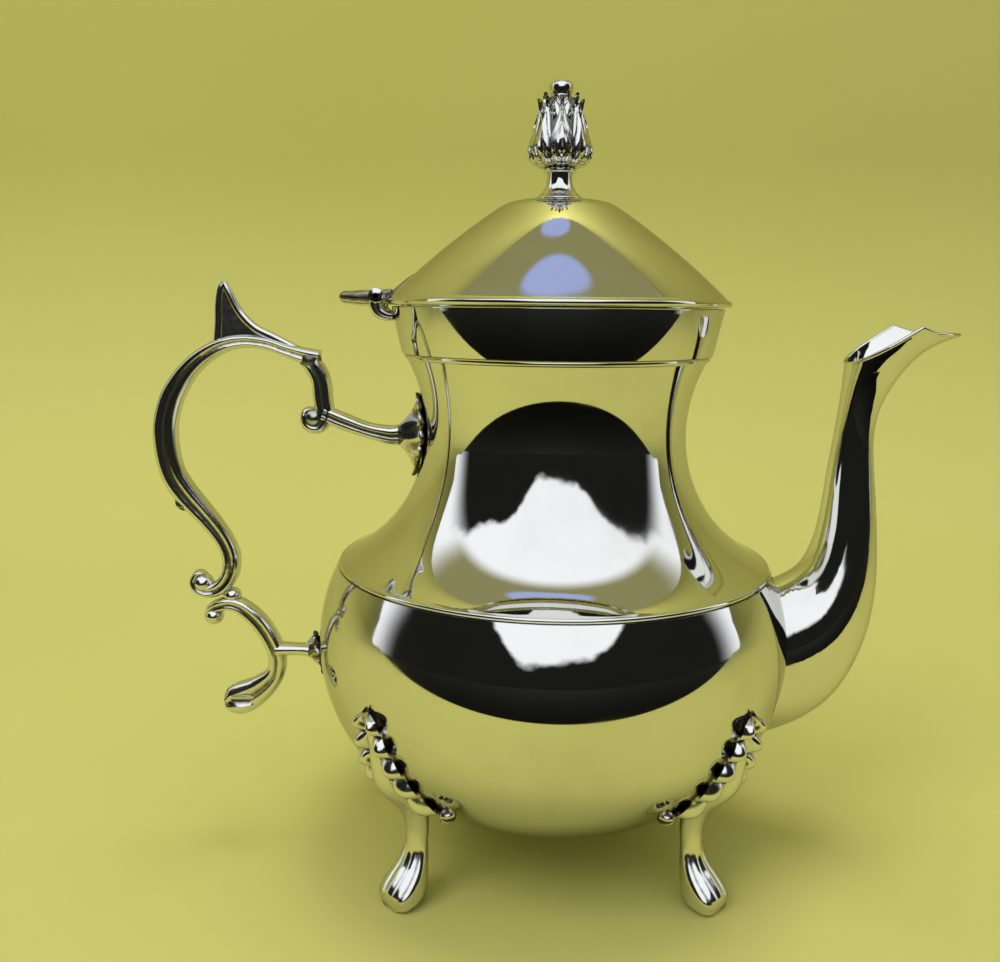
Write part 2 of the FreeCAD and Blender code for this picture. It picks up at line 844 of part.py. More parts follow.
def handle_bar(stations, groove=0.0):
    """Cast bar through stations (out, up, half thickness), in shares of the handle's sizes."""
    places = [(handle_place(out, up), handle_half_thickness * half) for out, up, half in stations]
    return rod(places, handle_half_width, groove)


def make_handle_grip():
    """C scroll that the hand holds, and the knee down to the arm."""
    scroll = [
        (0.035, 0.801, 0.79), (0.182, 0.827, 0.50), (0.304, 0.847, 0.50), (0.435, 0.853, 0.53),
        (0.555, 0.842, 0.61), (0.659, 0.819, 0.68), (0.751, 0.786, 0.76), (0.829, 0.742, 0.87),
        (0.890, 0.691, 0.95), (0.925, 0.619, 0.97), (0.904, 0.525, 1.00), (0.831, 0.462, 1.00),
        (0.676, 0.381, 0.82), (0.592, 0.328, 0.74), (0.557, 0.281, 0.74), (0.573, 0.233, 0.68),
        (0.635, 0.200, 0.63), (0.718, 0.202, 0.63),
    ]
    knee = [
        (0.035, 0.801, 0.79), (-0.022, 0.753, 0.79), (-0.029, 0.703, 0.79), (-0.045, 0.666, 0.76),
    ]
    return [handle_bar(scroll, handle_groove), handle_bar(knee)]


def make_handle_spur():
    """Thumb spur: two rails that meet in a point, and a thin web between them."""
    left = [
        (0.588, 0.852, 0.37), (0.578, 0.898, 0.34), (0.575, 0.945, 0.32), (0.561, 0.983, 0.29),
        (0.541, 0.998, 0.24),
    ]
    right = [
        (0.541, 0.998, 0.24), (0.514, 0.975, 0.29), (0.455, 0.925, 0.32), (0.371, 0.887, 0.34),
        (0.255, 0.862, 0.34), (0.118, 0.832, 0.32),
    ]
    outline = [handle_place(out, up) for out, up, half in left + right[1:]]
    tip = left[-1]
    knob = ball(handle_place(tip[0], tip[1]), handle_half_thickness * tip[2])
    return [handle_bar(left), handle_bar(right), prism(outline, wall), knob]


def make_handle_tail():
    """Lower scroll that ends in a bulb, and the link to the lower leaf."""
    scroll = [
        (0.659, 0.124, 0.58), (0.584, 0.154, 0.58), (0.492, 0.143, 0.66), (0.402, 0.107, 0.74),
        (0.331, 0.058, 0.74), (0.292, 0.008, 0.74), (0.310, -0.041, 0.76), (0.396, -0.081, 1.11),
        (0.502, -0.108, 1.42), (0.580, -0.117, 1.11), (0.616, -0.119, 0.37),
    ]
    start = at(handle_place(0.294, 0.0).x, link_height)
    link = Part.makeCylinder(link_radius, -lower_boss_end - start.x, start, Vector(1, 0, 0))
    return [handle_bar(scroll), link]


def make_handle_arm():
    """Arm from the knee to the upper leaf."""
    start = handle_place(-0.057, 0.662)
    end = at(-upper_boss_end, upper_leaf_height)
    span = end - start
    sag = at(0, handle_half_thickness * 0.13)
    half = handle_half_thickness
    stations = [
        (start, half * 0.79), (start + span * 0.33, half * 0.68), (start + span * 0.66 - sag, half * 0.63),
        (start + at(span.x * 0.92, span.z), half * 0.76), (end, half * 0.82),
    ]
    return [rod(stations, handle_half_width)]


def make_handle_scroll():
    """The cast handle: upper arm, C scroll with its spur, and the lower scroll with its bulb."""
    solids = make_handle_grip() + make_handle_tail() + make_handle_arm() + make_handle_spur()
    for out, up, size in (
            (0.035, 0.801, 1.04), (0.012, 0.656, 1.0), (-0.049, 0.664, 1.06),
            (0.729, 0.204, 1.04), (0.669, 0.121, 1.06), (0.557, 0.180, 0.77)):
        solids.append(ball(handle_place(out, up), scroll_ball * size))
    return joined(solids)


# Feet

ankle_radius = bowl_radius - ankle_setback
toe_radius = ankle_radius + toe_length


def foot_edge(share):
    """Half width of a foot's leaf at a share of its height, from its top."""
    return plate_half_width * (0.25 + 0.75 * share)


def foot_level(share):
    return plate_top - share * (plate_top - plate_foot)


def make_foot_leaf():
    """Leaf on the bowl, its edges cut into round lobes, with a bead on every lobe."""
    near = bowl_radius / 2
    edges = []
    for side in (-1, 1):
        start = Vector(near, 0, plate_top)
        for i in range(lobe_count):
            low = (i + 1) / lobe_count
            peak = (i + 0.5) / lobe_count
            end = Vector(near, side * 0.86 * foot_edge(low), foot_level(low))
            crest = Vector(near, side * foot_edge(peak), foot_level(peak - 0.02))
            edges.append(Part.Arc(start, crest, end).toShape())
            start = end
        edges.append(line(start, Vector(near, 0, plate_foot - wall)))
    outline = Part.Face(Part.Wire(Part.__sortEdges__(edges)))
    leaf = outline.extrude(Vector(2 * bowl_radius, 0, 0))
    solids = [leaf.common(bowl_coat(plate_foot - 2 * wall, plate_top + wall, plate_thickness))]
    for side in (-1, 1):
        for i in range(lobe_count):
            share = (i + 0.5) / lobe_count
            z = foot_level(share)
            y = side * (foot_edge(share) - lobe_bead)
            reach = math.sqrt((bowl_side(z) + plate_thickness * 0.6) ** 2 - y ** 2)
            solids.append(ball(Vector(reach, y, z), lobe_bead * (0.8 + 0.3 * share), Vector(1, 0, 0)))
        reach = math.sqrt(bowl_side(plate_foot) ** 2 - plate_half_width ** 2)
        volute = Vector(reach, side * plate_half_width, plate_foot)
        solids.append(ball(volute, volute_radius, Vector(1, 0, 0)))
    return solids


def make_foot_leg():
    """Rib of the leaf that leaves the bowl and runs down to the ankle."""
    stations = []
    for share, proud, half in ((0.18, 0.4, 0.33), (0.42, 1.8, 0.71), (0.73, 2.2, 0.95)):
        z = foot_level(share)
        stations.append((at(bowl_side(z) + proud, z), leg_half * half))
    stations += [
        (at(ankle_radius + leg_half * 0.57, plate_foot), leg_half),
        (at(ankle_radius, (plate_foot + ankle_height) / 2), leg_half * 0.76),
        (at(ankle_radius, ankle_height), leg_half * 0.69),
        (at(ankle_radius + leg_half * 0.29, ankle_height / 2), leg_half * 0.76),
    ]
    return rod(stations, leg_half * 1.1)


def make_foot_paw():
    """Paw with a flat sole, and its toes."""
    heel = ankle_radius - toe_length * 0.22
    high = ankle_height
    paw = skin([
        oval(at(heel, -0.06 * high), at(toe_radius - toe_length * 0.07, -0.06 * high), paw_half_width),
        oval(at(heel, 0.19 * high), at(toe_radius - toe_length * 0.1, 0.19 * high), paw_half_width * 0.97),
        oval(at(heel, 0.44 * high), at(toe_radius - toe_length * 0.38, 0.44 * high), paw_half_width * 0.8),
        oval(at(heel, 0.72 * high), at(ankle_radius + leg_half * 0.8, 0.72 * high), paw_half_width * 0.55),
    ])
    solids = [paw]
    for side in (-1, 1):
        for y in (0.7 * toe_ball, 2.05 * toe_ball):
            forward = toe_radius - 0.25 * (toe_ball + y)
            solids.append(ball(Vector(forward, side * y, 0.88 * toe_ball), toe_ball, Vector(1, 0, 0)))
    return solids


def make_foot():
    """One cast foot, in the plane of +X: leaf on the bowl, leg, and paw."""
    solids = make_foot_leaf() + [make_foot_leg()] + make_foot_paw()
    below = Part.makeBox(2 * bowl_radius, 2 * bowl_radius, bowl_radius,
                         Vector(0, -bowl_radius, -bowl_radius))
    return joined(solids).cut(bowl_solid()).cut(below)


def make_feet():
    """Four feet, a quarter turn apart, named for where they stand."""
    foot = make_foot()
    places = {
        "foot_back_spout": foot_turn,
        "foot_back_handle": 180 - foot_turn,
        "foot_front_handle": 180 + foot_turn,
        "foot_front_spout": 360 - foot_turn,
    }
    feet = {}
    for name, turn in places.items():
        feet[name] = foot.copy()
        feet[name].rotate(Vector(0, 0, 0), Vector(0, 0, 1), turn)
    return feet


def make_parts():
    parts = {
        "bowl_lower": make_bowl_lower(),
        "bowl_upper": make_bowl_upper(),
        "strainer_plate": make_strainer_plate(),
        "neck_lower": make_neck_lower(),
        "neck_upper": make_neck_upper(),
        "gallery_band": make_gallery_band(),
        "spout": make_spout(),
        "handle_scroll": make_handle_scroll(),
        "handle_upper_leaf": make_handle_upper_leaf(),
        "handle_lower_leaf": make_handle_lower_leaf(),
        "hinge_body_leaf": make_hinge_body_leaf(),
        "hinge_pin": make_hinge_pin(),
        "hinge_lid_leaf": make_hinge_lid_leaf(),
        "lid_shell": make_lid_shell(),
        "lid_bezel": make_lid_bezel(),
        "finial_pedestal": make_finial_pedestal(),
        "finial_collar": make_finial_collar(),
        "finial_bud": make_finial_bud(),
        "finial_stud": make_finial_stud(),
        "finial_washer": make_finial_washer(),
        "finial_nut": make_finial_nut(),
    }
    parts.update(make_feet())
    return parts


os.makedirs("parts", exist_ok=True)
for name, shape in make_parts().items():
    shape.exportStep("parts/" + name + ".step")
    box = shape.BoundBox
    print(f"{name}: solids {len(shape.Solids)}, valid {shape.isValid()}, volume {shape.Volume:.0f} mm3, "
          f"box {box.XLength:.1f} x {box.YLength:.1f} x {box.ZLength:.1f} mm")
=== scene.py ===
# %% [markdown]
# # A silver-plated teapot
#
# The solids of this pot come from a CAD program: a spun bowl and neck, a hinged lid, a gooseneck
# spout, a cast handle and four cast feet. They are loaded here as a fixed frame, in metres, and
# this lesson dresses them: it cuts the ornament of the castings as meshes, gives every piece a
# metal with its own wear, paints shade on a few parts of the castings, and sets up the light and
# the camera.

# %% Load the imported part
import json
import math

import bmesh
import bpy
import numpy as np
from mathutils import Matrix, Vector
from mathutils.bvhtree import BVHTree

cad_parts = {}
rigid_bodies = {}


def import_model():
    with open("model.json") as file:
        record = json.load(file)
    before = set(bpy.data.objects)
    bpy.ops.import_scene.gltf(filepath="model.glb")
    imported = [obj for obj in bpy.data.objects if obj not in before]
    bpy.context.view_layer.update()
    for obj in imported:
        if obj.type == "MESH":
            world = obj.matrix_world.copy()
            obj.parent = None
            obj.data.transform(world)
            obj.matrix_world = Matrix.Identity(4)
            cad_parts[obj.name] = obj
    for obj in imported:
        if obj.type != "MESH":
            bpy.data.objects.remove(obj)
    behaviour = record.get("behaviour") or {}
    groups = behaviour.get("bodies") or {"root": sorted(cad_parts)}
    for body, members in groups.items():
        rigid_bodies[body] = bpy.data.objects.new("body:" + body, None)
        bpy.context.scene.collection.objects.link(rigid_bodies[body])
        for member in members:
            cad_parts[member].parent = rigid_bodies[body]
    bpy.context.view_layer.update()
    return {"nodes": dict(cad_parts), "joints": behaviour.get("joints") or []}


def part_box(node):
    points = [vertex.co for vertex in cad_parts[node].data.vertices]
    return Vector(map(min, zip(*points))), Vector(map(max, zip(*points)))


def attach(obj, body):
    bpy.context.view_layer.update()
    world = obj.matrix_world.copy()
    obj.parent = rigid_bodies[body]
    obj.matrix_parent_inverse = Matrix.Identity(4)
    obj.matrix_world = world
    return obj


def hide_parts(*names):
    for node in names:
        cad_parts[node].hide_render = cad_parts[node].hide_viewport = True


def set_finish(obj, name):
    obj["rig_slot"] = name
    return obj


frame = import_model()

MM = 0.001
WELD = 0.0005 * MM

# %% [markdown]
# ## The camera
#
# The photograph was taken from close by, about 30 cm from the pot, so near things look large. The
# camera needs the focal length in pixels, the place of the eye, and the row of the picture where
# the horizon lies, which gives the tilt. The pot leans a little, so the camera is rolled as well.

# %% Camera
photo_width, photo_height = 1000, 962
lens_pixels = 972
horizon_row = 310
lean = 0.6
eye = Vector((-16.6, -296.8, 167.7)) * MM


def new_object(name, data):
    """Object in the scene for a camera, a mesh or a lamp."""
    made = bpy.data.objects.new(name, data)
    bpy.context.scene.collection.objects.link(made)
    return made


camera_data = bpy.data.cameras.new("photo_camera")
camera_data.sensor_fit = "HORIZONTAL"
camera_data.sensor_width = 36.0
camera_data.lens = camera_data.sensor_width * lens_pixels / photo_width
camera = new_object("photo_camera", camera_data)
pitch = math.atan((photo_height / 2 - horizon_row) / lens_pixels)
tilt = Matrix.Rotation(math.pi / 2 - pitch, 4, "X")
roll = Matrix.Rotation(math.radians(lean), 4, "Z")
camera.matrix_world = Matrix.Translation(eye) @ tilt @ roll
bpy.context.scene.camera = camera
print(f"camera: lens {camera_data.lens:.1f} mm, tilted down by {math.degrees(pitch):.1f} degrees")

# %% [markdown]
# ## Mesh helpers
#
# Most of this pot is made from grids of points: a turned shell is an outline carried round the
# axis, a cast bar is an oval carried along a line, and a leaf is a curved sheet. So one function
# joins a grid into faces, and each kind of shell adds what it needs. Each point carries a number,
# `recess_and_shade`, from 0 on a ridge to 1 in a groove, that tells the metal where polish never
# reaches and tarnish stays. A few parts in shadow get a share of it too: that is painted shade.

# %% Grids and shells
def grid_faces(rows, columns, closed):
    """Quads of a grid stored row by row; closed joins its last column to the first."""
    faces = []
    for row in range(0, (rows - 1) * columns, columns):
        for j in range(columns if closed else columns - 1):
            k = (j + 1) % columns
            faces.append((row + j, row + k, row + columns + k, row + columns + j))
    return faces


def grid_of(x, y, z):
    """Grid of points from their coordinates."""
    return np.stack(np.broadcast_arrays(x, y, z), 2)


def unit(vectors):
    """The same directions with length 1."""
    return vectors / np.maximum(np.linalg.norm(vectors, axis=-1, keepdims=True), 1e-9)


def tube_shell(rings, recess_and_shade=0.0):
    """Shell from rings of points, with flat ends."""
    rings = np.asarray(rings, float)
    rows, columns = rings.shape[:2]
    faces = grid_faces(rows, columns, True)
    faces.append(tuple(range(columns))[::-1])
    faces.append(tuple(range((rows - 1) * columns, rows * columns)))
    return rings.reshape(-1, 3), faces, np.broadcast_to(recess_and_shade, (rows, columns)).reshape(-1)


def sheet_shell(grid, thickness, recess_and_shade):
    """Closed sheet: a grid of points and a copy of it set back by its thickness."""
    rows, columns = grid.shape[:2]
    count = rows * columns
    normal = unit(np.cross(np.gradient(grid, axis=1), np.gradient(grid, axis=0)))
    back = grid - normal * thickness
    front_faces = grid_faces(rows, columns, False)
    faces = front_faces + [tuple(count + v for v in face[::-1]) for face in front_faces]
    index = np.arange(count).reshape(rows, columns)
    edge = [*index[0], *index[1:, -1], *index[-1, -2::-1], *index[-2:0:-1, 0]]
    faces += [(b, a, count + a, count + b) for a, b in zip(edge, edge[1:] + edge[:1])]
    marks = np.concatenate([np.broadcast_to(recess_and_shade, (rows, columns)).reshape(-1), np.ones(count)])
    return np.concatenate([grid.reshape(-1, 3), back.reshape(-1, 3)]), faces, marks


def full_turn(count):
    """Angles once round, without the last."""
    return np.linspace(0, 2 * math.pi, count, endpoint=False)


def about_axis(radius, angle, height):
    """Grid of points from radii and angles about Z, and heights."""
    return grid_of(radius * np.cos(angle), radius * np.sin(angle), height)


def lathe_shell(outline, segments):
    """Outline of (radius, height), turned about Z; one that starts off the axis is closed."""
    outline = np.asarray(outline + outline[:1] if outline[0][0] > 0 else outline, float)
    rings = about_axis(outline[:, :1], full_turn(segments), outline[:, 1:])
    faces = grid_faces(len(outline), segments, True)
    return rings.reshape(-1, 3), faces, np.zeros(len(outline) * segments)


# %% [markdown]
# A piece is the sum of several shells in one mesh. Points that coincide are welded, the faces
# are turned outwards, and edges sharper than an angle stay sharp when the rest is shaded smooth.
# The piece then rides on a body of the CAD model, and stands for the nodes that it replaces.

# %% Pieces
def mesh_of(name, shells):
    """Mesh in metres from shells in millimetres; each point keeps its mark of recess and shade."""
    points, faces, marks, start = [], [], [], 0
    for shell_points, shell_faces, shell_marks in shells:
        points.append(shell_points)
        faces += [tuple(start + v for v in face) for face in shell_faces]
        marks.append(shell_marks)
        start += len(shell_points)
    mesh = bpy.data.meshes.new(name)
    mesh.from_pydata((np.concatenate(points) * MM).tolist(), [], faces)
    attribute = mesh.attributes.new("recess_and_shade", "FLOAT", "POINT")
    attribute.data.foreach_set("value", np.concatenate(marks).astype(np.float32))
    return mesh


def piece(name, shells, body, slot, replaced, crease=40):
    """Object from shells; it rides on a body and stands for CAD nodes."""
    mesh = mesh_of(name, shells)
    welded = bmesh.new()
    welded.from_mesh(mesh)
    bmesh.ops.remove_doubles(welded, verts=welded.verts, dist=WELD)
    bmesh.ops.recalc_face_normals(welded, faces=welded.faces)
    welded.to_mesh(mesh)
    welded.free()
    mesh.polygons.foreach_set("use_smooth", [True] * len(mesh.polygons))
    mesh.set_sharp_from_angle(angle=math.radians(crease))
    made = new_object(name, mesh)
    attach(made, body)
    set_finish(made, slot)
    if replaced:
        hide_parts(*replaced)
    print(f"{name}: {len(mesh.polygons)} faces, stands for", ", ".join(replaced) or "no node")
    return made


# %% [markdown]
# ## Curves
#
# An outline needs only a few points if its round stretches are arcs. `arc` walks the short way
# round a centre. A casting flows through given points instead, so `flow` draws a smooth line
# through them: at each point its direction is that of the line between its two neighbours.

# %% Arcs and flowing lines
def arc(centre, start, end, count):
    """Points on the short arc from start to end round a centre, both ends included."""
    first = math.atan2(start[1] - centre[1], start[0] - centre[0])
    last = math.atan2(end[1] - centre[1], end[0] - centre[0])
    sweep = (last - first + math.pi) % (2 * math.pi) - math.pi
    angle = np.linspace(first, first + sweep, count + 1)
    reach = np.linspace(math.dist(centre, start), math.dist(centre, end), count + 1)
    return list(zip(centre[0] + reach * np.cos(angle), centre[1] + reach * np.sin(angle)))


def half_round(start, end, bulge=(1, 0), count=10):
    """Half circle on the segment from start to end, bulging in the direction of bulge."""
    middle = ((start[0] + end[0]) / 2, (start[1] + end[1]) / 2)
    half = math.dist(start, end) / 2
    top = (middle[0] + bulge[0] * half, middle[1] + bulge[1] * half)
    return arc(middle, start, top, count // 2) + arc(middle, top, end, count // 2)[1:]


def flow(stations, steps=8):
    """Smooth line through rows of numbers, with steps points for each stretch."""
    rows = np.asarray(stations, float)
    padded = np.vstack([2 * rows[0] - rows[1], rows, 2 * rows[-1] - rows[-2]])
    s = np.linspace(0, 1, steps, endpoint=False)[:, None]
    line = []
    for before, here, there, after in zip(padded, padded[1:], padded[2:], padded[3:]):
        leave, arrive = (there - before) / 2, (after - here) / 2
        line.append((2 * s**3 - 3 * s**2 + 1) * here + (s**3 - 2 * s**2 + s) * leave
                    + (3 * s**2 - 2 * s**3) * there + (s**3 - s**2) * arrive)
    return np.vstack(line + [rows[-1:]])


# %% [markdown]
# ## The spun shells
#
# Bowl, neck, band and lid are thin sheet, pressed over a form on a lathe and polished like a
# mirror. A mirror shows every flat facet, so the shells are turned again here with fine, even
# quads. Their sizes are read from the frame, so they lie on the CAD solids. The bowl is one arc
# from its flat base to the seam, where it turns inwards into a flange.

# %% Bowl
wall = 1.0
base_corner, waist_corner = (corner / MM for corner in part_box("bowl_lower"))
bowl_radius, bowl_waist, base_height = waist_corner.y, waist_corner.z, base_corner.z
seam_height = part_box("bowl_upper")[1].z / MM
bowl_arc = 51.5
bowl_centre = (bowl_radius - bowl_arc, bowl_waist)


def spun(name, outline, body, replaced, segments=192):
    """Polished piece from one turned outline."""
    return piece(name, [lathe_shell(outline, segments)], body, "silver_polished", replaced)


def bowl_side(z, grow=0.0):
    """Radius of the bowl at a height, if it were grown along its surface."""
    return bowl_centre[0] + math.sqrt((bowl_arc + grow) ** 2 - (z - bowl_waist) ** 2)


seam_flange = 4.0
flange_under = seam_height - wall
flange_radius = bowl_side(seam_height) - seam_flange
inner_base = base_height + wall
bowl_outline = [
    (0.0, base_height),
    *arc(bowl_centre, (bowl_side(base_height), base_height),
         (bowl_side(seam_height), seam_height), 72),
    (flange_radius, seam_height), (flange_radius, flange_under),
    *arc(bowl_centre, (bowl_side(flange_under, -wall), flange_under),
         (bowl_side(inner_base, -wall), inner_base), 48),
    (0.0, inner_base)]
bowl = spun("bowl", bowl_outline, "pot", ["bowl_lower", "bowl_upper", "strainer_plate"])

# %% [markdown]
# Behind the spout the bowl is pierced, so that the leaves stay in the pot. The holes are drilled
# the way a workshop does it: rods go through the wall in a honeycomb, and a boolean cuts them out.

# %% Strainer holes
strainer_height, hole_radius, hole_pitch, drill_reach = 52.5, 1.6, 4.6, 9
drill_shells = []
hole_turn = full_turn(20)
for row in range(-2, 3):
    for column in range(5 - abs(row)):
        y = (column - (4 - abs(row)) / 2) * hole_pitch + hole_radius * np.cos(hole_turn)
        height = strainer_height + row * hole_pitch * math.sqrt(3) / 2
        z = height + hole_radius * np.sin(hole_turn)
        ends = bowl_side(height) + np.array([[-drill_reach], [drill_reach]])
        drill_shells.append(tube_shell(grid_of(ends, y, z)))
drills = new_object("strainer_drills", mesh_of("strainer_drills", drill_shells))
drilling = bowl.modifiers.new("drilling", "BOOLEAN")
drilling.operation = "DIFFERENCE"
drilling.solver = "EXACT"
drilling.object = drills
depsgraph = bpy.context.evaluated_depsgraph_get()
drilled = bpy.data.meshes.new_from_object(bowl.evaluated_get(depsgraph))
bowl.modifiers.clear()
bowl.data = drilled
drilled.set_sharp_from_angle(angle=math.radians(40))
bpy.data.objects.remove(drills)
print("bowl with", len(drill_shells), "strainer holes:", len(drilled.polygons), "faces")

# %% [markdown]
# The neck stands on the bowl with a rolled lip, narrows to a waist and widens again to the mouth.
# Two hollow arcs that are both upright at the waist make one smooth line, and each is fixed by
# one more point: the lip below, the mouth above.

# %% Neck
flare_corner, neck_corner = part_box("neck_lower")[1] / MM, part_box("neck_upper")[1] / MM
lip_radius, neck_waist = flare_corner.y, flare_corner.z
neck_top_radius, neck_top = neck_corner.y, neck_corner.z
neck_radius, lip_thickness = 39.7, 1.5
flare_foot = (lip_radius - lip_thickness / 2, seam_height + lip_thickness)


def hollow_arc(step, rise):
    """Radius of the arc that is upright at a waist and comes out by a step over a rise."""
    return (step**2 + rise**2) / (2 * step)


flare_arc = hollow_arc(flare_foot[0] - neck_radius, neck_waist - flare_foot[1])
upper_arc = hollow_arc(neck_top_radius - neck_radius, neck_top - neck_waist)
flare_centre = (neck_radius + flare_arc, neck_waist)
upper_centre = (neck_radius + upper_arc, neck_waist)


def neck_side(z, grow=0.0):
    """Radius of the neck at a height, if it were grown along its surface."""
    centre, reach = (flare_centre, flare_arc) if z < neck_waist else (upper_centre, upper_arc)
    return centre[0] - math.sqrt((reach - grow) ** 2 - (z - neck_waist) ** 2)


inner_drop = math.sqrt((flare_arc + wall) ** 2 - (flare_centre[0] - flange_radius) ** 2)
waist, inner_waist = (neck_radius, neck_waist), (neck_radius - wall, neck_waist)
neck_outline = [
    (flange_radius, seam_height),
    *half_round((flare_foot[0], seam_height), flare_foot),
    *arc(flare_centre, flare_foot, waist, 48),
    *arc(upper_centre, waist, (neck_top_radius, neck_top), 24)[1:],
    *arc(upper_centre, (neck_side(neck_top, -wall), neck_top), inner_waist, 16),
    *arc(flare_centre, inner_waist, (flange_radius, neck_waist - inner_drop), 24)[1:]]
spun("neck", neck_outline, "pot", ["neck_lower", "neck_upper"])

# %% [markdown]
# A tall band stiffens the mouth and holds the lid in place. Its outline is a half round for the
# bead at its foot, a wall that leans out a little and a rounded top; a shelf joins it to the neck.

# %% Band round the mouth
band_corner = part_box("gallery_band")[1] / MM
band_bead, bead_setback, mouth_radius, band_foot_radius = 1.8, 0.7, 43.0, 46.6
band_foot, band_top, band_top_radius = neck_top + band_bead, band_corner.z, band_corner.y
band_shoulder = band_top - wall / 2
band_slope = (band_top_radius - band_foot_radius) / (band_shoulder - band_foot)
bead_edge = band_foot_radius - bead_setback - band_bead / 2
band_shelf = band_foot + wall
band_outline = [
    (mouth_radius, neck_top), *half_round((bead_edge, neck_top), (bead_edge, band_foot)),
    (band_foot_radius, band_foot),
    *half_round((band_top_radius, band_shoulder), (band_top_radius - wall, band_shoulder), (0, 1)),
    (band_foot_radius + band_slope * wall - wall, band_shelf), (mouth_radius, band_shelf)]
spun("mouth_band", band_outline, "pot", ["gallery_band"])

# %% [markdown]
# The lid is flat under the finial, bends over a tight crown into a long, slightly swelling slope
# and ends in a rolled brim. The slope is an arc that leaves the crown smoothly, so its radius
# follows from its two ends. The inside is the same line, moved inwards by the wall.

# %% Lid
lid_low, lid_high = (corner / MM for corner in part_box("lid_shell"))
lid_radius, lid_under, lid_top = lid_high.y, lid_low.z, lid_high.z
lid_brim, lid_flat_radius, crown_arc, crown_turn = 1.9, 10.5, 14.0, math.radians(34)
seat_radius, seat_step, stud_hole = 44.7, 0.5, 2.1


def lid_line(grow):
    """Line of the lid from its flat top to the brim, grown along its surface."""
    crown_centre = np.array([lid_flat_radius, lid_top - crown_arc])
    lean_way = np.array([math.sin(crown_turn), math.cos(crown_turn)])
    brim = np.array([lid_radius - lid_brim / 2, lid_under + lid_brim])
    crown_end = crown_centre + lean_way * crown_arc
    fall = math.atan2(crown_end[1] - brim[1], brim[0] - crown_end[0]) - crown_turn
    slope_arc = math.dist(crown_end, brim) / (2 * math.sin(fall))
    slope_centre = crown_end - lean_way * slope_arc
    outward = (brim - slope_centre) / slope_arc
    top, middle = (lid_flat_radius, lid_top + grow), crown_centre + lean_way * (crown_arc + grow)
    end = slope_centre + outward * (slope_arc + grow)
    return arc(crown_centre, top, middle, 16) + arc(slope_centre, middle, end, 48)[1:]


lid_outside = lid_line(0.0)
lid_inside = [point for point in lid_line(-wall) if point[0] < seat_radius]
lid_outline = [
    (stud_hole, lid_top), *lid_outside,
    *half_round(lid_outside[-1], (lid_outside[-1][0], lid_under))[1:],
    (seat_radius, lid_under), (seat_radius, lid_inside[-1][1] - seat_step),
    *lid_inside[::-1], (stud_hole, lid_top - wall)]
spun("lid", lid_outline, "lid", ["lid_shell"])

# %% [markdown]
# ## The edge of the spout
#
# The spout is shown as it comes from the CAD program, but its mouth ends there in a plain cut.
# An edge that is touched and poured over is rolled. So the cut is traced: rays are sent sideways
# at the spout along the line of its mouth, and a thin wire follows the places that they hit.

# %% Rolled edge of the mouth
mouth_line = [(88.2, 152.6), (105.7, 163.8), (110.9, 162.0), (129.0, 161.3)]
wire_radius, wire_inset, ray_drop, ray_start, stretch_steps = 0.6, 0.3, 0.3, -60, 40


def mouth_edge():
    """Places on the edge of the mouth, once round, found on the CAD mesh of the spout."""
    solid = frame["nodes"]["spout"]
    points = [solid.matrix_world @ vertex.co / MM for vertex in solid.data.vertices]
    tree = BVHTree.FromPolygons(points, [tuple(face.vertices) for face in solid.data.polygons])
    near = []
    for start, end in zip(mouth_line, mouth_line[1:]):
        for share in np.linspace(0, 1, stretch_steps, endpoint=False):
            x, z = (a + (b - a) * share for a, b in zip(start, end))
            hit = tree.ray_cast(Vector((x, ray_start, z - ray_drop)), Vector((0, 1, 0)))[0]
            if hit and hit.y < 0:
                near.append((x, hit.y + wire_inset, z))
    near = np.array(near)
    return np.concatenate([near, near[::-1] * (1, -1, 1)])


def wire_shell(line, radius, count=12):
    """Thin wire along a closed line."""
    along = unit(np.roll(line, -1, axis=0) - np.roll(line, 1, axis=0))
    sideways = unit(np.cross(along, (0.0, 0.0, 1.0)))
    upwards = np.cross(sideways, along)
    turn = full_turn(count)[None, :, None]
    way = np.cos(turn) * sideways[:, None] + np.sin(turn) * upwards[:, None]
    rings = line[:, None] + radius * way
    rings = np.concatenate([rings, rings[:1]])
    return rings.reshape(-1, 3), grid_faces(len(rings), count, True), np.zeros(len(rings) * count)


bpy.context.view_layer.update()
edge_line = mouth_edge()
for _ in range(3):
    neighbours = np.roll(edge_line, 1, axis=0) + np.roll(edge_line, -1, axis=0)
    edge_line = (neighbours + 2 * edge_line) / 4
piece("spout_edge", [wire_shell(edge_line, wire_radius)], "pot", "silver_polished", [])

# %% [markdown]
# ## The finial
#
# A turned foot and a ring carry the bud: a hollow arc on a rounded edge, and a half round. They are
# small, so half as many steps round the axis are enough.

# %% Finial foot and ring
finial_segments = 96
pedestal_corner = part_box("finial_pedestal")[1] / MM
pedestal_radius, pedestal_waist, pedestal_top = pedestal_corner.y, 3.7, pedestal_corner.z
pedestal_arc = hollow_arc(pedestal_radius - pedestal_waist, pedestal_top - lid_top - 2 * wall)
pedestal_centre = (pedestal_waist + pedestal_arc, pedestal_top - wall)
pedestal_edge = pedestal_radius - wall / 2
edge_top = (pedestal_edge, lid_top + wall)
pedestal_outline = [
    (stud_hole, lid_top), *half_round((pedestal_edge, lid_top), edge_top),
    *arc(pedestal_centre, edge_top, (pedestal_waist, pedestal_top - wall), 24),
    (pedestal_waist, pedestal_top), (stud_hole, pedestal_top)]
spun("finial_foot", pedestal_outline, "lid", ["finial_pedestal"], finial_segments)

collar_low, collar_high = (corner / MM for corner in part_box("finial_collar"))
collar_edge = collar_high.y - (collar_high.z - collar_low.z) / 2
collar_outline = [
    (stud_hole, collar_low.z),
    *half_round((collar_edge, collar_low.z), (collar_edge, collar_high.z), count=16),
    (stud_hole, collar_high.z)]
spun("finial_ring", collar_outline, "lid", ["finial_collar"], finial_segments)

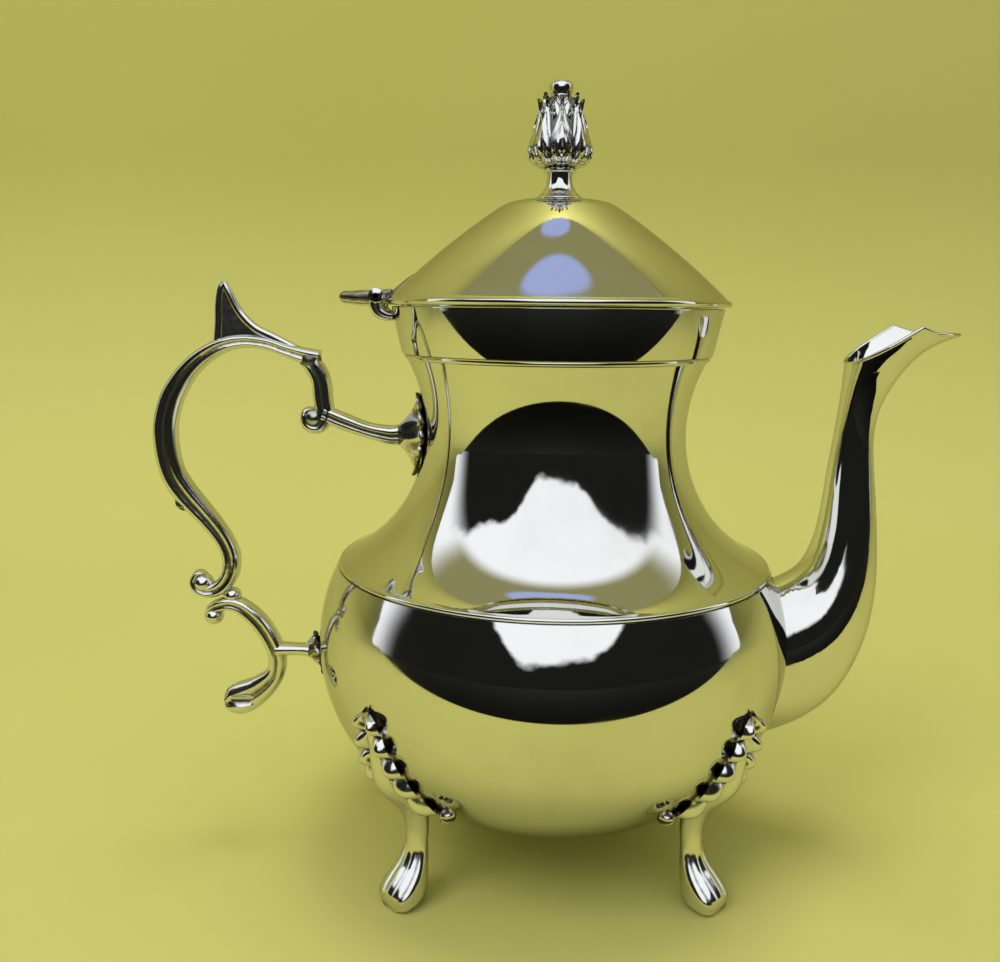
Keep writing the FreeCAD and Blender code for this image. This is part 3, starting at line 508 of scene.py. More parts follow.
# %% [markdown]
# The bud is a casting of leaves. Each leaf is a sheet of its own, ribbed along its middle, that
# rises along the bulge of the bud and ends in a point that curls outwards. A cup of sixteen short
# leaves holds eight tall ones, eight more look out between their tips, and a knob closes the top.
# All lines are shares of the bud's radius and height.

# %% Finial bud
bud_low, bud_high = (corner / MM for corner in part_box("finial_bud"))
bud_radius, bud_base, bud_height = bud_high.y, bud_low.z, bud_high.z - bud_low.z
bud_leaf_thickness, vein_depth, tip_share, leaf_columns, knob_start = 0.5, 0.14, 0.003, 13, 0.80
cup_line = [(0.42, 0.0), (0.76, 0.03), (0.93, 0.09), (0.98, 0.16), (0.97, 0.235)]
tall_line = [(0.40, 0.02), (0.74, 0.06), (0.92, 0.14), (0.97, 0.23), (0.88, 0.36), (0.77, 0.49),
             (0.69, 0.60), (0.65, 0.68), (0.66, 0.735), (0.72, 0.775)]
inner_line = [(0.60, 0.40), (0.64, 0.56), (0.57, 0.68), (0.53, 0.75), (0.53, 0.80), (0.57, 0.83)]
core_line = [(0.40, 0.0), (0.66, 0.05), (0.83, 0.14), (0.86, 0.26), (0.74, 0.42), (0.63, 0.56),
             (0.54, 0.68), (0.42, 0.78), (0.33, 0.82), (0.36, 0.86), (0.38, 0.905), (0.34, 0.955),
             (0.22, 0.99), (0.0, 1.0)]


def unit_grid(rows, columns):
    """Share along a leaf, 0 to 1, as a column, and place across it, -1 to 1, as a row."""
    return np.linspace(0, 1, rows)[:, None], np.linspace(-1, 1, columns)[None, :]


def ridge(x, width):
    """Soft ridge of height 1 along x = 0."""
    return np.exp(-((x / width) ** 2))


def bud_flow(line, steps):
    """Smooth line of (radius, height) in millimetres from shares of the bud."""
    return flow([(r * bud_radius, bud_base + h * bud_height) for r, h in line], steps)


def bud_leaf(line, turn, spread):
    """One leaf of the bud along its middle line; spread is its half width as an angle."""
    middle = bud_flow(line, 7)
    share, side = unit_grid(len(middle), leaf_columns)
    swell = 0.62 + 0.55 * np.sin(math.pi * np.minimum(share * 1.4, 1))
    width = spread * np.sqrt(np.clip(1 - share, tip_share, 1)) * swell
    rib = 1.1 * spread * ridge(side, 0.16)
    veins = vein_depth * np.cos(math.pi * (7 * share + 3.2 * np.abs(side)))
    edge = -1.4 * spread * side**2 * np.sin(math.pi * share) ** 0.5
    grid = about_axis(middle[:, :1] + rib + veins + edge, turn + width * side, middle[:, 1:])
    recess_and_shade = np.clip(0.22 - 2.0 * veins - rib + 0.6 * side**4 - 0.3 * share, 0, 1)
    return sheet_shell(grid, bud_leaf_thickness, recess_and_shade)


bud_shells = []
for line, count, phase, spread in (
        (cup_line, 16, 0.5, 0.21), (tall_line, 8, 0.0, 0.42), (inner_line, 8, 0.5, 0.42)):
    for k in range(count):
        turn = 2 * math.pi * (k + phase) / count - math.pi / 2
        bud_shells.append(bud_leaf(line, turn, spread))
core_outline = [(0.0, bud_base)] + [tuple(point) for point in bud_flow(core_line, 6)]
core_points, core_faces, core_marks = lathe_shell(core_outline, finial_segments)
# Below the knob the core lies among the leaves and is marked 0.7 darker there: tarnish in that
# hollow and painted shade among the leaves.
in_leaves = core_points[:, 2] < bud_base + knob_start * bud_height
bud_shells.append((core_points, core_faces, core_marks + 0.7 * in_leaves))
piece("finial_leaves", bud_shells, "lid", "silver_cast", ["finial_bud"], 60)

# %% [markdown]
# ## The handle
#
# The handle is one casting of two scrolls, a spur for the thumb and an arm to the neck. It is a
# bar that is grooved along both sides, so that it looks like two rails. The bar is an oval
# section carried along a flowing line; the groove is pressed into the section where it faces
# sideways. The lines are given as places from the side of the bowl and from the lower leaf.

# %% Bars of the handle
lower_leaf_height = 57.0
bar_half_width, full_thickness, bead_pitch, bar_points = 3.4, 2.2, 2.2, 36


def handle_rows(rows):
    """Rows of (out from the bowl, up from the lower leaf, half thickness) as (x, z, half)."""
    return [(-(bowl_radius + out), lower_leaf_height + up, half) for out, up, half in rows]


def beside(line, offset):
    """X and Z of places beside a line that starts with (x, z), by an offset along its normal."""
    along = unit(np.gradient(line[:, :2], axis=0))
    return line[:, :1] - along[:, 1:] * offset, line[:, 1:2] + along[:, :1] * offset


def bar_shell(rows, groove=0.7, beads=0.0, width=bar_half_width):
    """Bar with a groove along both sides; beads raises a row of small beads in the groove."""
    line = flow(handle_rows(rows))
    steps = np.linalg.norm(np.diff(line[:, :2], axis=0), axis=1)
    travelled = np.concatenate([[0], np.cumsum(steps)])[:, None]
    turn = full_turn(bar_points)
    flat, side = (np.sign(wave) * np.abs(wave) ** 0.8 for wave in (np.cos(turn), np.sin(turn)))
    half = line[:, 2:]
    x, z = beside(line, flat * half)
    hollow_share = ridge(flat, 0.34)
    bead_rise = beads * (0.5 + 0.5 * np.cos(2 * math.pi * travelled / bead_pitch))
    slim = np.minimum(1.0, half / full_thickness)
    y = width * slim * side - np.sign(side) * hollow_share * (groove * slim - bead_rise)
    recess_and_shade = np.clip(hollow_share * (0.78 - bead_rise), 0, 1) * (groove > 0)
    return tube_shell(grid_of(x, y, z)[:, ::-1], recess_and_shade[:, ::-1])


grip = [(-0.4, 95.6, 2.6), (3.4, 96.3, 2.5), (9.3, 98, 2), (15.5, 100, 1.9),
        (22.2, 100.6, 2), (28.3, 99.4, 2.3), (33.6, 96.6, 2.6), (38.3, 92.7, 2.9),
        (42.3, 87.6, 3.3), (45.4, 81.5, 3.6), (47.2, 73, 3.7), (46.1, 62, 3.8),
        (42.4, 54.5, 3.8), (34.5, 45, 3.1), (30.2, 38.7, 2.8), (28.4, 33.2, 2.8),
        (29.2, 27.5, 2.6), (32.4, 23.6, 2.4), (36.6, 22.6, 2.3), (39.6, 24.6, 2.2),
        (38.8, 27.4, 1.8), (36.6, 27, 1.2)]
tail = [(36.4, 13.6, 1), (35.4, 16.2, 1.7), (32.6, 17.8, 2.1), (29, 18.4, 2.3),
        (25.1, 16.9, 2.5), (20.5, 12.6, 2.8), (16.9, 6.9, 2.8), (14.9, 0.9, 2.8),
        (15.8, -4.8, 3), (20.2, -9.6, 4.2), (25.6, -12.8, 5.2), (29.4, -14, 4.6),
        (31.6, -14.4, 2.2)]
knee = [(3.6, 95, 2), (1.2, 93.2, 2.9), (-0.9, 89, 3), (-1.5, 83, 3),
        (-1.8, 78.8, 2.9), (0.2, 75.6, 2.8), (2.9, 76.2, 2.6), (3.2, 79, 2), (1.6, 79.6, 1.2)]
arm_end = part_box("handle_scroll")[1].x / MM + bowl_radius
arm = [(-1.6, 79, 2.6), (-8, 76.4, 2.6), (-15, 74, 2.4), (-21.5, 72.6, 2.9),
       (-arm_end, 72.6, 3.1)]
link = [(15, 3.4, 2.2), (9, 3.4, 1.8), (4.5, 3.2, 2)]
handle_shells = [bar_shell(grip, 0.9, 0.08), bar_shell(tail), bar_shell(knee), bar_shell(arm, 0.6),
                 bar_shell(link, 0.0)]
print("handle: five bars,", sum(len(shell[1]) for shell in handle_shells), "faces")

# %% [markdown]
# The spur is a thin web between two rails, deep in shadow. The scrolls end in small balls,
# slightly flattened, and a leaf step and the fluted bulb at the foot are lumps of the same kind.
# All of them are separate shells in the same casting, sunk into the bars where they meet.

# %% Spur and balls of the handle
spur_width, web_thickness, web_rows, web_columns = 2.4, 1.2, 20, 9
spur_left = [(30, 100.5, 1.4), (29.5, 106, 1.3), (29.3, 111.5, 1.2), (28.6, 116, 1.1),
             (27.6, 117.8, 0.9)]
spur_right = [(27.6, 117.8, 0.9), (26.2, 115, 1.1), (23.2, 109.2, 1.2), (18.9, 104.7, 1.3),
              (13, 101.7, 1.3), (6, 98.2, 1.2)]


def even_line(rows):
    """Smooth line of (x, z) through rows of the handle, with one point for each row of the web."""
    line = flow(handle_rows(rows), 6)
    places, wanted = np.linspace(0, 1, len(line)), np.linspace(0, 1, web_rows)
    return np.stack([np.interp(wanted, places, line[:, k]) for k in (0, 1)], 1)[:, None]


def lump_shell(centre, reach, dark, flutes=0, depth=0.0, rows=20, columns=40):
    """Rounded lump with three half sizes; dark is painted shade over the whole lump; flutes run
    from pole to pole along X.
    """
    polar, turn = np.linspace(0, math.pi, rows)[:, None], full_turn(columns)
    wave = 0.5 - 0.5 * np.cos(flutes * turn)
    girth = np.sin(polar) * (1 - depth * wave * np.sin(polar))
    points = np.array(centre) + np.array(reach) * grid_of(
        np.cos(polar), girth * np.sin(turn), girth * np.cos(turn))
    recess_and_shade = np.broadcast_to(np.clip(dark + 0.8 * wave, 0, 1), (rows, columns))
    return points.reshape(-1, 3), grid_faces(rows, columns, True), recess_and_shade.reshape(-1)


handle_shells += [bar_shell(rail, 0.0, width=spur_width) for rail in (spur_left, spur_right)]
left_line, right_line = even_line(spur_left[::-1]), even_line(spur_right)
web = left_line + (right_line - left_line) * np.linspace(0, 1, web_columns)[None, :, None]
web_grid = grid_of(web[..., 0], -web_thickness / 2, web[..., 1])
# The web is marked 0.55 over its whole face: painted shade, as it lies deep in shadow between the
# rails.
handle_shells.append(sheet_shell(web_grid[::-1], web_thickness, 0.55))
# After the sizes comes the painted shade of each lump: the lumps at both ends of the knee and the
# fluted lump on the grip are painted darkest.
for out, up, reach, *finish in (
        (37.6, 25, (3.3, 3.6, 3.1), 0.1), (34.6, 14.2, (3, 3.4, 2.8), 0.2),
        (1.4, 77.6, (3.4, 3.5, 3.2), 0.55), (2.2, 95.2, (3.4, 3.7, 2.9), 0.75),
        (28.6, 21, (2.9, 3, 2.6), 0.2), (42.6, 51, (2.6, 3.2, 3), 0.6, 6, 0.3),
        (26.4, -13.2, (6, 4.3, 5.2), 0.15, 10, 0.28)):
    centre = (-(bowl_radius + out), 0.0, lower_leaf_height + up)
    handle_shells.append(lump_shell(centre, reach, *finish))
piece("handle", handle_shells, "pot", "silver_cast", ["handle_scroll"], 50)

# %% [markdown]
# ## Leaves that hold the handle
#
# Where the handle meets the pot, a cast leaf spreads its load. The leaf lies on the shell: its
# points are places on the neck or the bowl, raised by a relief that has a toothed edge, a rib,
# side veins and a boss that meets the end of the handle.

# %% Leaf plates
plate_thickness, teeth, boss_half_width, boss_share = 0.9, 5, 4.4, 0.42


def leaf_plate(surface, corners, middle=None, boss_height=None):
    """Sheet between two corners on the handle side; surface gives the radius at a height."""
    low, high = (corner / MM for corner in corners)
    middle = middle or (low.z + high.z) / 2
    boss_height = boss_height or middle
    share, side = unit_grid(61, 41)
    rise = high.z - low.z
    height = low.z + share * rise
    tooth = 0.80 + 0.20 * np.abs(np.sin(math.pi * teeth * share))
    width = high.y * np.clip(np.sin(math.pi * share), 0, 1) ** 0.62 * tooth + 0.05
    y = width * side
    rib = 0.6 * ridge(side, 0.13)
    veins = 0.28 * np.cos(2 * math.pi * (teeth * share - 0.9 * np.abs(side)))
    relief = 1.1 + rib + veins * np.abs(side) ** 0.5 + 0.5 * np.abs(side) ** 3
    from_boss = np.hypot(y / boss_half_width, (height - boss_height) / (boss_share * rise))
    boss_reach = -low.x - surface(middle)
    relief = relief + boss_reach * np.clip(1.15 - from_boss, 0, 1) ** 1.5
    reach = np.sqrt(np.maximum((np.vectorize(surface)(height) + relief) ** 2 - y**2, 1))
    grid = grid_of(-reach, y, height)
    recess_and_shade = np.clip(0.5 - 1.6 * veins * np.abs(side) - rib, 0, 1)
    return sheet_shell(grid[:, ::-1], plate_thickness, recess_and_shade[:, ::-1])


upper_plate = leaf_plate(neck_side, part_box("handle_upper_leaf"))
piece("upper_leaf", [upper_plate], "pot", "silver_cast", ["handle_upper_leaf"], 60)
lower_plate = leaf_plate(bowl_side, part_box("handle_lower_leaf"), lower_leaf_height,
                         lower_leaf_height + link[-1][1])
piece("lower_leaf", [lower_plate], "pot", "silver_cast", ["handle_lower_leaf"], 60)

# %% [markdown]
# ## The feet
#
# Each foot is a casting. A leaf spreads up the bowl, its edges cut into round lobes with deep
# notches between them. It is a sheet on the bowl, raised by domes for the lobes, a rib and a few
# slanted cuts.

# %% Leaf of a foot
plate_top, plate_foot, plate_half_width, lobes = 61.5, 31.0, 13.5, 5
foot_leaf_thickness, lobe_height, rib_height, cut_depth = 1.6, 3.3, 1.2, 0.7


def dome(x):
    """Parabola over -1 to 1, and 0 outside."""
    return np.clip(1 - x**2, 0, 1)


def foot_leaf():
    """Leaf on the bowl: lobes along both edges, a rib, and slanted cuts beside it."""
    share, side = unit_grid(171, 97)
    from_rib = np.abs(side)
    height = plate_top - share * (plate_top - plate_foot)
    along = dome(((lobes * share) % 1.0 - 0.5) / 0.5)
    outline = plate_half_width * (0.25 + 0.75 * share) * np.clip(share / 0.05, 0, 1) ** 0.5
    y = side * outline * (0.84 + 0.16 * along)
    lobe = along * dome((from_rib - 0.64) / 0.40) ** 0.7
    rib = ridge(side, 0.2) * np.clip(share / 0.25, 0, 1)
    slant = (2.6 * share + 0.6 * from_rib) % 1.0 - 0.5
    cut = ridge(slant, 0.09) * ridge(from_rib - 0.34, 0.1)
    relief = 0.7 + lobe_height * lobe + rib_height * rib - cut_depth * cut
    radius = np.vectorize(bowl_side)(height)
    lean_out, lean_up = (radius - bowl_centre[0]) / bowl_arc, (height - bowl_waist) / bowl_arc
    grid = about_axis(radius + relief * lean_out, y / radius, height + relief * lean_up)
    notch = (1 - along) ** 2.2 * np.clip(1.5 - np.abs((from_rib - 0.66) / 0.36), 0, 1)
    return sheet_shell(grid[::-1], foot_leaf_thickness, np.clip(1.2 * notch + cut, 0, 1)[::-1])


# %% [markdown]
# Below the leaf, the leg narrows to an ankle and spreads again into a fluted paw. It is one tube;
# each row of its table gives a place, two half sizes, how deep the toes are cut and how flat the
# sole is. Two small curls end the leaf. One foot is built on the +X side and copied to all four.

# %% Leg and paw of a foot
ankle, toe_front, toes, toe_depth, leg_points = 55.8, 66.2, 4, 0.15, 60
leg_rows = [
    (bowl_side(53) + 0.2, 53, 0.9, 1.4, 0, 0), (bowl_side(46) + 1.5, 46, 2.0, 2.6, 0, 0),
    (bowl_side(39) + 2.0, 39, 3.3, 3.8, 0, 0), (ankle + 2.3, 31, 4.1, 4.6, 0, 0),
    (ankle, 23.5, 3.2, 4.0, 0, 0), (ankle, 17.5, 2.9, 3.7, 0.2, 0),
    (ankle + 0.6, 13.5, 3.2, 4.5, 0.9, 0.2), (ankle + 2.2, 9.8, 3.7, 5.4, 1, 0.8),
    (ankle + 4.6, 6.9, 4.0, 6.1, 1, 1), (ankle + 7.4, 4.6, 3.6, 6.2, 1, 1),
    (toe_front - 1.1, 3.1, 2.7, 5.4, 0.8, 1), (toe_front, 2.3, 1.0, 3.2, 0.2, 1)]


def leg_shell():
    """Leg and paw along one line, fluted over the toes and flat on the floor."""
    rows = flow(leg_rows, 10)
    turn = full_turn(leg_points)
    thick, broad = np.cos(turn), np.sin(turn)
    flutes = 1 - np.abs(np.cos(math.pi * toes / 2 * (broad + 1))) ** 0.7
    cut = rows[:, 4:5] * flutes * np.clip(thick + 0.5, 0, 1)
    x, z = beside(rows, thick * rows[:, 2:3] * (1 - toe_depth * cut))
    z = np.maximum(z * (1 - rows[:, 5:] * np.clip(-thick, 0, 1) ** 0.5), 0.0)
    return tube_shell(grid_of(x, rows[:, 3:4] * broad, z), np.clip(0.75 * cut, 0, 1))


foot_shells = [foot_leaf(), leg_shell()]
curl_reach = math.sqrt(bowl_side(plate_foot) ** 2 - plate_half_width**2)
for y in (-plate_half_width, plate_half_width):
    curl_centre = (curl_reach, y, plate_foot - 0.2)
    foot_shells.append(lump_shell(curl_centre, (2.7, 2.6, 2.6), 0.2, 5, 0.15))
for name, turn in (("back_spout", 45), ("back_handle", 135), ("front_handle", 225),
                   ("front_spout", 315)):
    spin = np.array(Matrix.Rotation(math.radians(turn), 3, "Z"))
    turned = [(points @ spin.T, faces, marks) for points, faces, marks in foot_shells]
    piece("paw_" + name, turned, "pot", "silver_cast", ["foot_" + name], 60)

# %% [markdown]
# ## The hinge
#
# A thumb leaf on the lid hides the hinge. It swells from a point, is fluted along its length and
# runs over the knuckle into the brim; a strap like a small leaf carries it on along the slope.

# %% Thumb leaf
hinge = Vector(frame["joints"][0]["pos_m"]) / MM
knuckle_half, knuckle_radius = 5.6, 2.2
strap_half_width, strap_height, strap_thickness, strap_start = 4.0, 1.3, 1.0, 1.2
leaf_low, leaf_high = (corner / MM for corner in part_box("hinge_lid_leaf"))


def thumb_shell(count=64):
    """Leaf from its tip, over the knuckle, into the brim of the lid."""
    tip = leaf_low.x
    rows = flow([(x, hinge.z + up, half, width) for x, up, half, width in (
        (tip + 0.1, -0.2, 0.8, 0.8), (tip + 1.4, -0.3, 1.8, 2.8), (tip + 4.4, -0.4, 2.2, 4.6),
        (tip + 7.4, -0.35, 2.5, 5.0), (hinge.x - 2.4, -0.3, 2.5, 4.9), (hinge.x, 0.0, 2.2, 4.6),
        (hinge.x + 2.0, 0.3, 2.0, 4.3), (hinge.x + 3.8, 0.8, 1.5, 3.9))])
    turn = full_turn(count)
    level, broad = np.sin(turn), np.cos(turn)
    flute = 0.5 - 0.5 * np.cos(5 * math.pi * broad)
    z = rows[:, 1:2] + rows[:, 2:3] * (1 - 0.24 * flute * np.abs(level)) * level
    return tube_shell(grid_of(rows[:, :1], rows[:, 3:4] * broad, z), 0.30 + 0.55 * flute)


def strap_shell():
    """Small leaf on the slope of the lid, from the brim upwards."""
    share, side = unit_grid(25, 25)
    start, end = strap_start - lid_radius, leaf_high.x - 0.3
    x = start + (end - start) * share
    y = side * (strap_half_width * np.sqrt(1 - share) + 0.1)
    rise = strap_height * np.sqrt(1 - share) * (1 - 0.5 * side**2) + 0.25 * ridge(side, 0.2)
    slope = np.array(lid_outside)
    z = np.interp(np.hypot(x, y), slope[:, 0], slope[:, 1]) + rise
    recess_and_shade = 0.2 + 0.5 * np.abs(side) ** 3
    return sheet_shell(grid_of(x, y, z)[:, ::-1], strap_thickness, recess_and_shade)


def barrel_shell(stations, recess_and_shade):
    """Barrel about the axis of the hinge, from stations of (y, radius)."""
    y, radius = np.array(stations).T[:, :, None]
    turn = full_turn(48)
    x, z = hinge.x + radius * np.cos(turn), hinge.z - radius * np.sin(turn)
    return tube_shell(grid_of(x, y, z), recess_and_shade)


knuckle = [(-knuckle_half, 1.7), (0.4 - knuckle_half, knuckle_radius), (0, knuckle_radius),
           (knuckle_half - 0.4, knuckle_radius), (knuckle_half, 1.7)]
piece("thumb_leaf", [thumb_shell(), strap_shell(), barrel_shell(knuckle, 0.3)],
      "lid", "silver_cast", ["hinge_lid_leaf"], 50)

# %% [markdown]
# The bracket on the band is cast as well: two bent arms, each with a knuckle at its top, joined by
# a strip that lies against the band.

# %% Bracket of the hinge
bracket_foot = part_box("hinge_body_leaf")[0].z / MM
arm_start, arm_half = knuckle_half + 0.3, 1.5
strip_height, strip_thickness, scallop_pitch, scallop_depth = 2.4, 0.85, 2.8, 0.5


def bracket_arm(side, count=28):
    """Rounded bar from the knuckle down to the band."""
    rows = flow([(hinge.x + out, hinge.z + up, half) for out, up, half in (
        (0.0, 0.4, 1.7), (-0.2, -2.2, 2.0), (0.6, -4.4, 1.9), (2.6, -5.6, 1.6), (4.9, -5.9, 1.2))])
    turn = full_turn(count)
    flat, broad = np.cos(turn), np.sin(turn)
    x, z = beside(rows, flat * rows[:, 2:])
    hollow_share = ridge(flat, 0.3)
    y = side * (arm_start + arm_half) + (arm_half - 0.3 * hollow_share) * broad
    return tube_shell(grid_of(x, y, z), 0.15 + 0.5 * hollow_share)


def bracket_strip():
    """Strip on the band between the arms, with a scalloped lower edge."""
    share, side = unit_grid(9, 73)
    across = side * (arm_start + arm_half)
    scallop = 0.5 - 0.5 * np.cos(2 * math.pi * across / scallop_pitch)
    low = bracket_foot + 0.1 + scallop_depth * scallop
    height = low + (bracket_foot + strip_height - low) * share
    reach = band_foot_radius + (height - band_foot) * band_slope + 0.9 + 0.5 * dome(2 * share - 1)
    grid = grid_of(-np.sqrt(reach**2 - across**2), across, height)
    return sheet_shell(grid[:, ::-1], strip_thickness, 0.1 + 0.4 * scallop)


outer_knuckle = [(0.0, 1.8), (0.3, knuckle_radius), (1.5, knuckle_radius), (2.7, knuckle_radius),
                 (3.0, 1.6)]
bracket_shells = [bracket_strip()]
for side in (-1, 1):
    stations = [(side * (arm_start + step), radius) for step, radius in outer_knuckle]
    bracket_shells += [bracket_arm(side), barrel_shell(stations, 0.2)]
piece("hinge_bracket", bracket_shells, "pot", "silver_cast", ["hinge_body_leaf"], 50)

# %% [markdown]
# ## Metal
#
# Silver plate is a mirror that is never quite clean. A material here is a small tree of nodes, and
# a few helpers keep it readable: they add a node and feed it numbers or outputs of other nodes.

# %% Node helpers
def plug(tree, socket, value):
    """Feed a socket with a number, a colour or the output of another node."""
    if isinstance(value, bpy.types.NodeSocket):
        tree.links.new(value, socket)
    else:
        socket.default_value = value


def fill(tree, node, **inputs):
    """Feed the sockets of a node by name, with _ for a space."""
    for label, value in inputs.items():
        plug(tree, node.inputs[label.replace("_", " ")], value)
    return node


def add_node(tree, kind, **inputs):
    """New node of a kind with its sockets fed."""
    return fill(tree, tree.nodes.new("ShaderNode" + kind), **inputs)


def ramp(tree, value, low, high, to_low=0.0, to_high=1.0):
    """Smooth step of a value between two limits."""
    node = add_node(tree, "MapRange", Value=value, From_Min=low, From_Max=high, To_Min=to_low,
                    To_Max=to_high)
    node.interpolation_type = "SMOOTHSTEP"
    return node.outputs["Result"]


def maths(tree, operation, *values):
    """Result of one operation on one or two values."""
    node = add_node(tree, "Math")
    node.operation = operation
    for socket, value in zip(node.inputs, values):
        plug(tree, socket, value)
    return node.outputs["Value"]


def mix_color(tree, share, *colors):
    """Blend of two colours, each of them three numbers or the output of a node."""
    node = add_node(tree, "Mix", Factor=share)
    node.data_type = "RGBA"
    for socket, color in zip((s for s in node.inputs if s.type == "RGBA"), colors):
        plug(tree, socket, (*color, 1.0) if isinstance(color, tuple) else color)
    return next(s for s in node.outputs if s.type == "RGBA")


def new_group(name, inputs, outputs):
    """Empty shader group with values as inputs (name and default) and outputs."""
    group = bpy.data.node_groups.new(name, "ShaderNodeTree")
    for label, value in inputs.items():
        socket = group.interface.new_socket(label, in_out="INPUT", socket_type="NodeSocketFloat")
        socket.default_value = value
    for label in outputs:
        group.interface.new_socket(label, in_out="OUTPUT", socket_type="NodeSocketFloat")
    return group, group.nodes.new("NodeGroupInput").outputs, group.nodes.new("NodeGroupOutput")


# %% [markdown]
# Handling leaves faint smears that blur the reflection, and wiping leaves very fine scratches.
# That is one node group. The second is the dark tarnish that stays in the grooves of castings,
# together with the shade painted on parts in shadow: it takes the `recess_and_shade` of each point
# and breaks its edge up with noise. Groups give out only values; the shader itself stays in each
# material.

# %% Handling marks and tarnish
tree, given, result = new_group(
    "handling_marks", {"Smear Scale": 30.0, "Scratch Scale": 900.0}, ["Smear", "Height"])
place = add_node(tree, "TexCoord").outputs["Object"]
cloudy = add_node(tree, "TexNoise", Vector=place, Scale=given["Smear Scale"], Detail=4.0,
                  Roughness=0.6).outputs["Fac"]
stretch = add_node(tree, "Mapping", Vector=place, Scale=(1.0, 1.0, 0.08)).outputs["Vector"]
fine = add_node(tree, "TexNoise", Vector=stretch, Scale=given["Scratch Scale"], Detail=2.0)
fill(tree, result, Smear=ramp(tree, cloudy, 0.42, 0.75), Height=fine.outputs["Fac"])
marks_group = tree

tree, given, result = new_group(
    "groove_tarnish_and_shade", {"RecessAndShade": 0.0, "Grain Scale": 400.0}, ["Tarnish", "Height"])
place = add_node(tree, "TexCoord").outputs["Object"]
grain = add_node(tree, "TexNoise", Vector=place, Scale=given["Grain Scale"], Detail=5.0,
                 Roughness=0.65).outputs["Fac"]
broken = maths(tree, "ADD", given["RecessAndShade"], maths(tree, "MULTIPLY", grain, 0.5))
fill(tree, result, Tarnish=ramp(tree, broken, 0.55, 1.15), Height=grain)
tarnish_and_shade_group = tree
print("node groups", marks_group.name, tarnish_and_shade_group.name)

# %% [markdown]
# Every metal is made in the same way: a mask from one of the groups takes it from a clean colour
# and a low roughness to a dull colour and a higher one, and the group's height roughens it. Sheet
# takes the handling marks and stays a mirror; castings take the tarnish and the painted shade,
# black beside white.

# %% Metals
silver_glint = (0.70, 0.69, 0.66, 1.0)
wiped, grainy = (0.02, 0.0001), (0.12, 0.0003)


def metal(name, group, mask, colors, roughness, bump, **settings):
    """Metal between two colours and two roughnesses; bump is how strong and deep its grain is."""
    material = bpy.data.materials.new(name)
    material.use_nodes = True
    tree = material.node_tree
    wear_and_shade = add_node(tree, "Group")
    wear_and_shade.node_tree = group
    fill(tree, wear_and_shade, **settings)
    if "RecessAndShade" in wear_and_shade.inputs:
        recess_and_shade = add_node(tree, "Attribute")
        recess_and_shade.attribute_name = "recess_and_shade"
        plug(tree, wear_and_shade.inputs["RecessAndShade"], recess_and_shade.outputs["Fac"])
    worn_and_shaded = wear_and_shade.outputs[mask]
    grain = add_node(
        tree, "Bump", Strength=bump[0], Distance=bump[1], Height=wear_and_shade.outputs["Height"])
    fill(tree, tree.nodes["Principled BSDF"], Metallic=1.0, Specular_Tint=silver_glint,
         Base_Color=mix_color(tree, worn_and_shaded, *colors),
         Roughness=ramp(tree, worn_and_shaded, 0.0, 1.0, *roughness), Normal=grain.outputs["Normal"])
    return material


mirror = metal("silver_mirror", marks_group, "Smear",
               ((0.79, 0.785, 0.76), (0.72, 0.71, 0.67)), (0.035, 0.10), wiped)
inner_mirror = metal("silver_ring", marks_group, "Smear",
                     ((0.88, 0.86, 0.81), (0.74, 0.70, 0.62)), (0.12, 0.25), wiped)
# The dark colour of the casting is tarnish in its grooves and painted shade on parts in shadow.
cast = metal("silver_casting", tarnish_and_shade_group, "Tarnish",
             ((0.79, 0.785, 0.76), (0.10, 0.088, 0.070)), (0.15, 0.38), grainy)
brass = metal("worn_brass", marks_group, "Smear",
              ((0.72, 0.56, 0.28), (0.52, 0.38, 0.18)), (0.22, 0.42), wiped,
              Smear_Scale=120.0)

for made in (o for o in bpy.data.objects if o.get("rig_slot")):
    made.data.materials.clear()
    made.data.materials.append(cast if made["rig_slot"] == "silver_cast" else mirror)
for node, material in (("spout", mirror), ("lid_bezel", inner_mirror), ("hinge_pin", brass),
                       ("finial_stud", brass), ("finial_washer", brass), ("finial_nut", brass)):
    for holder in frame["nodes"][node].material_slots:
        holder.material = material
print("materials:", [m.name for m in (mirror, inner_mirror, cast, brass)])

# %% [markdown]
# ## Floor and light
#
# A mirror shows the room more than itself, so the room is part of the picture: a pale cloth that
# turns up into a wall behind the pot and ends a hand's length in front of it, a dark floor beyond
# its edge, and bright sky in front. A camera that looks from another side sees the pale floor go
# on; only the mirrors see the dark one.

# %% Floor and backdrop
cloth_front, wall_foot, wall_bend, wall_height, cloth_half_width = -0.235, 0.28, 0.30, 1.6, 8.0
floor_reach, floor_gap, cloth_overlap = 3.0, 0.002, 0.02


def stage_sheet(name, line, half_width, material):
    """Sheet from a line of (y, z), as wide as the room, marked as stage."""
    mesh = bpy.data.meshes.new(name)
    points = [(x, y, z) for y, z in line for x in (-half_width, half_width)]
    mesh.from_pydata(points, [], [face[::-1] for face in grid_faces(len(line), 2, False)])
    mesh.polygons.foreach_set("use_smooth", [True] * len(mesh.polygons))
    mesh.materials.append(material)
    sheet = new_object(name, mesh)
    return sheet


def cloth_material(name, first, second, scale):
    """Matt cloth in two near shades."""
    material = bpy.data.materials.new(name)
    material.use_nodes = True
    tree = material.node_tree
    place = add_node(tree, "TexCoord").outputs["Object"]
    shade = add_node(tree, "TexNoise", Vector=place, Scale=scale).outputs["Fac"]
    fill(tree, tree.nodes["Principled BSDF"], Roughness=0.9, Specular_IOR_Level=0.1,
         Base_Color=mix_color(tree, shade, first, second))
    return material


pale_cloth = cloth_material("pale_cloth", (0.56, 0.535, 0.165), (0.51, 0.485, 0.135), 3.0)
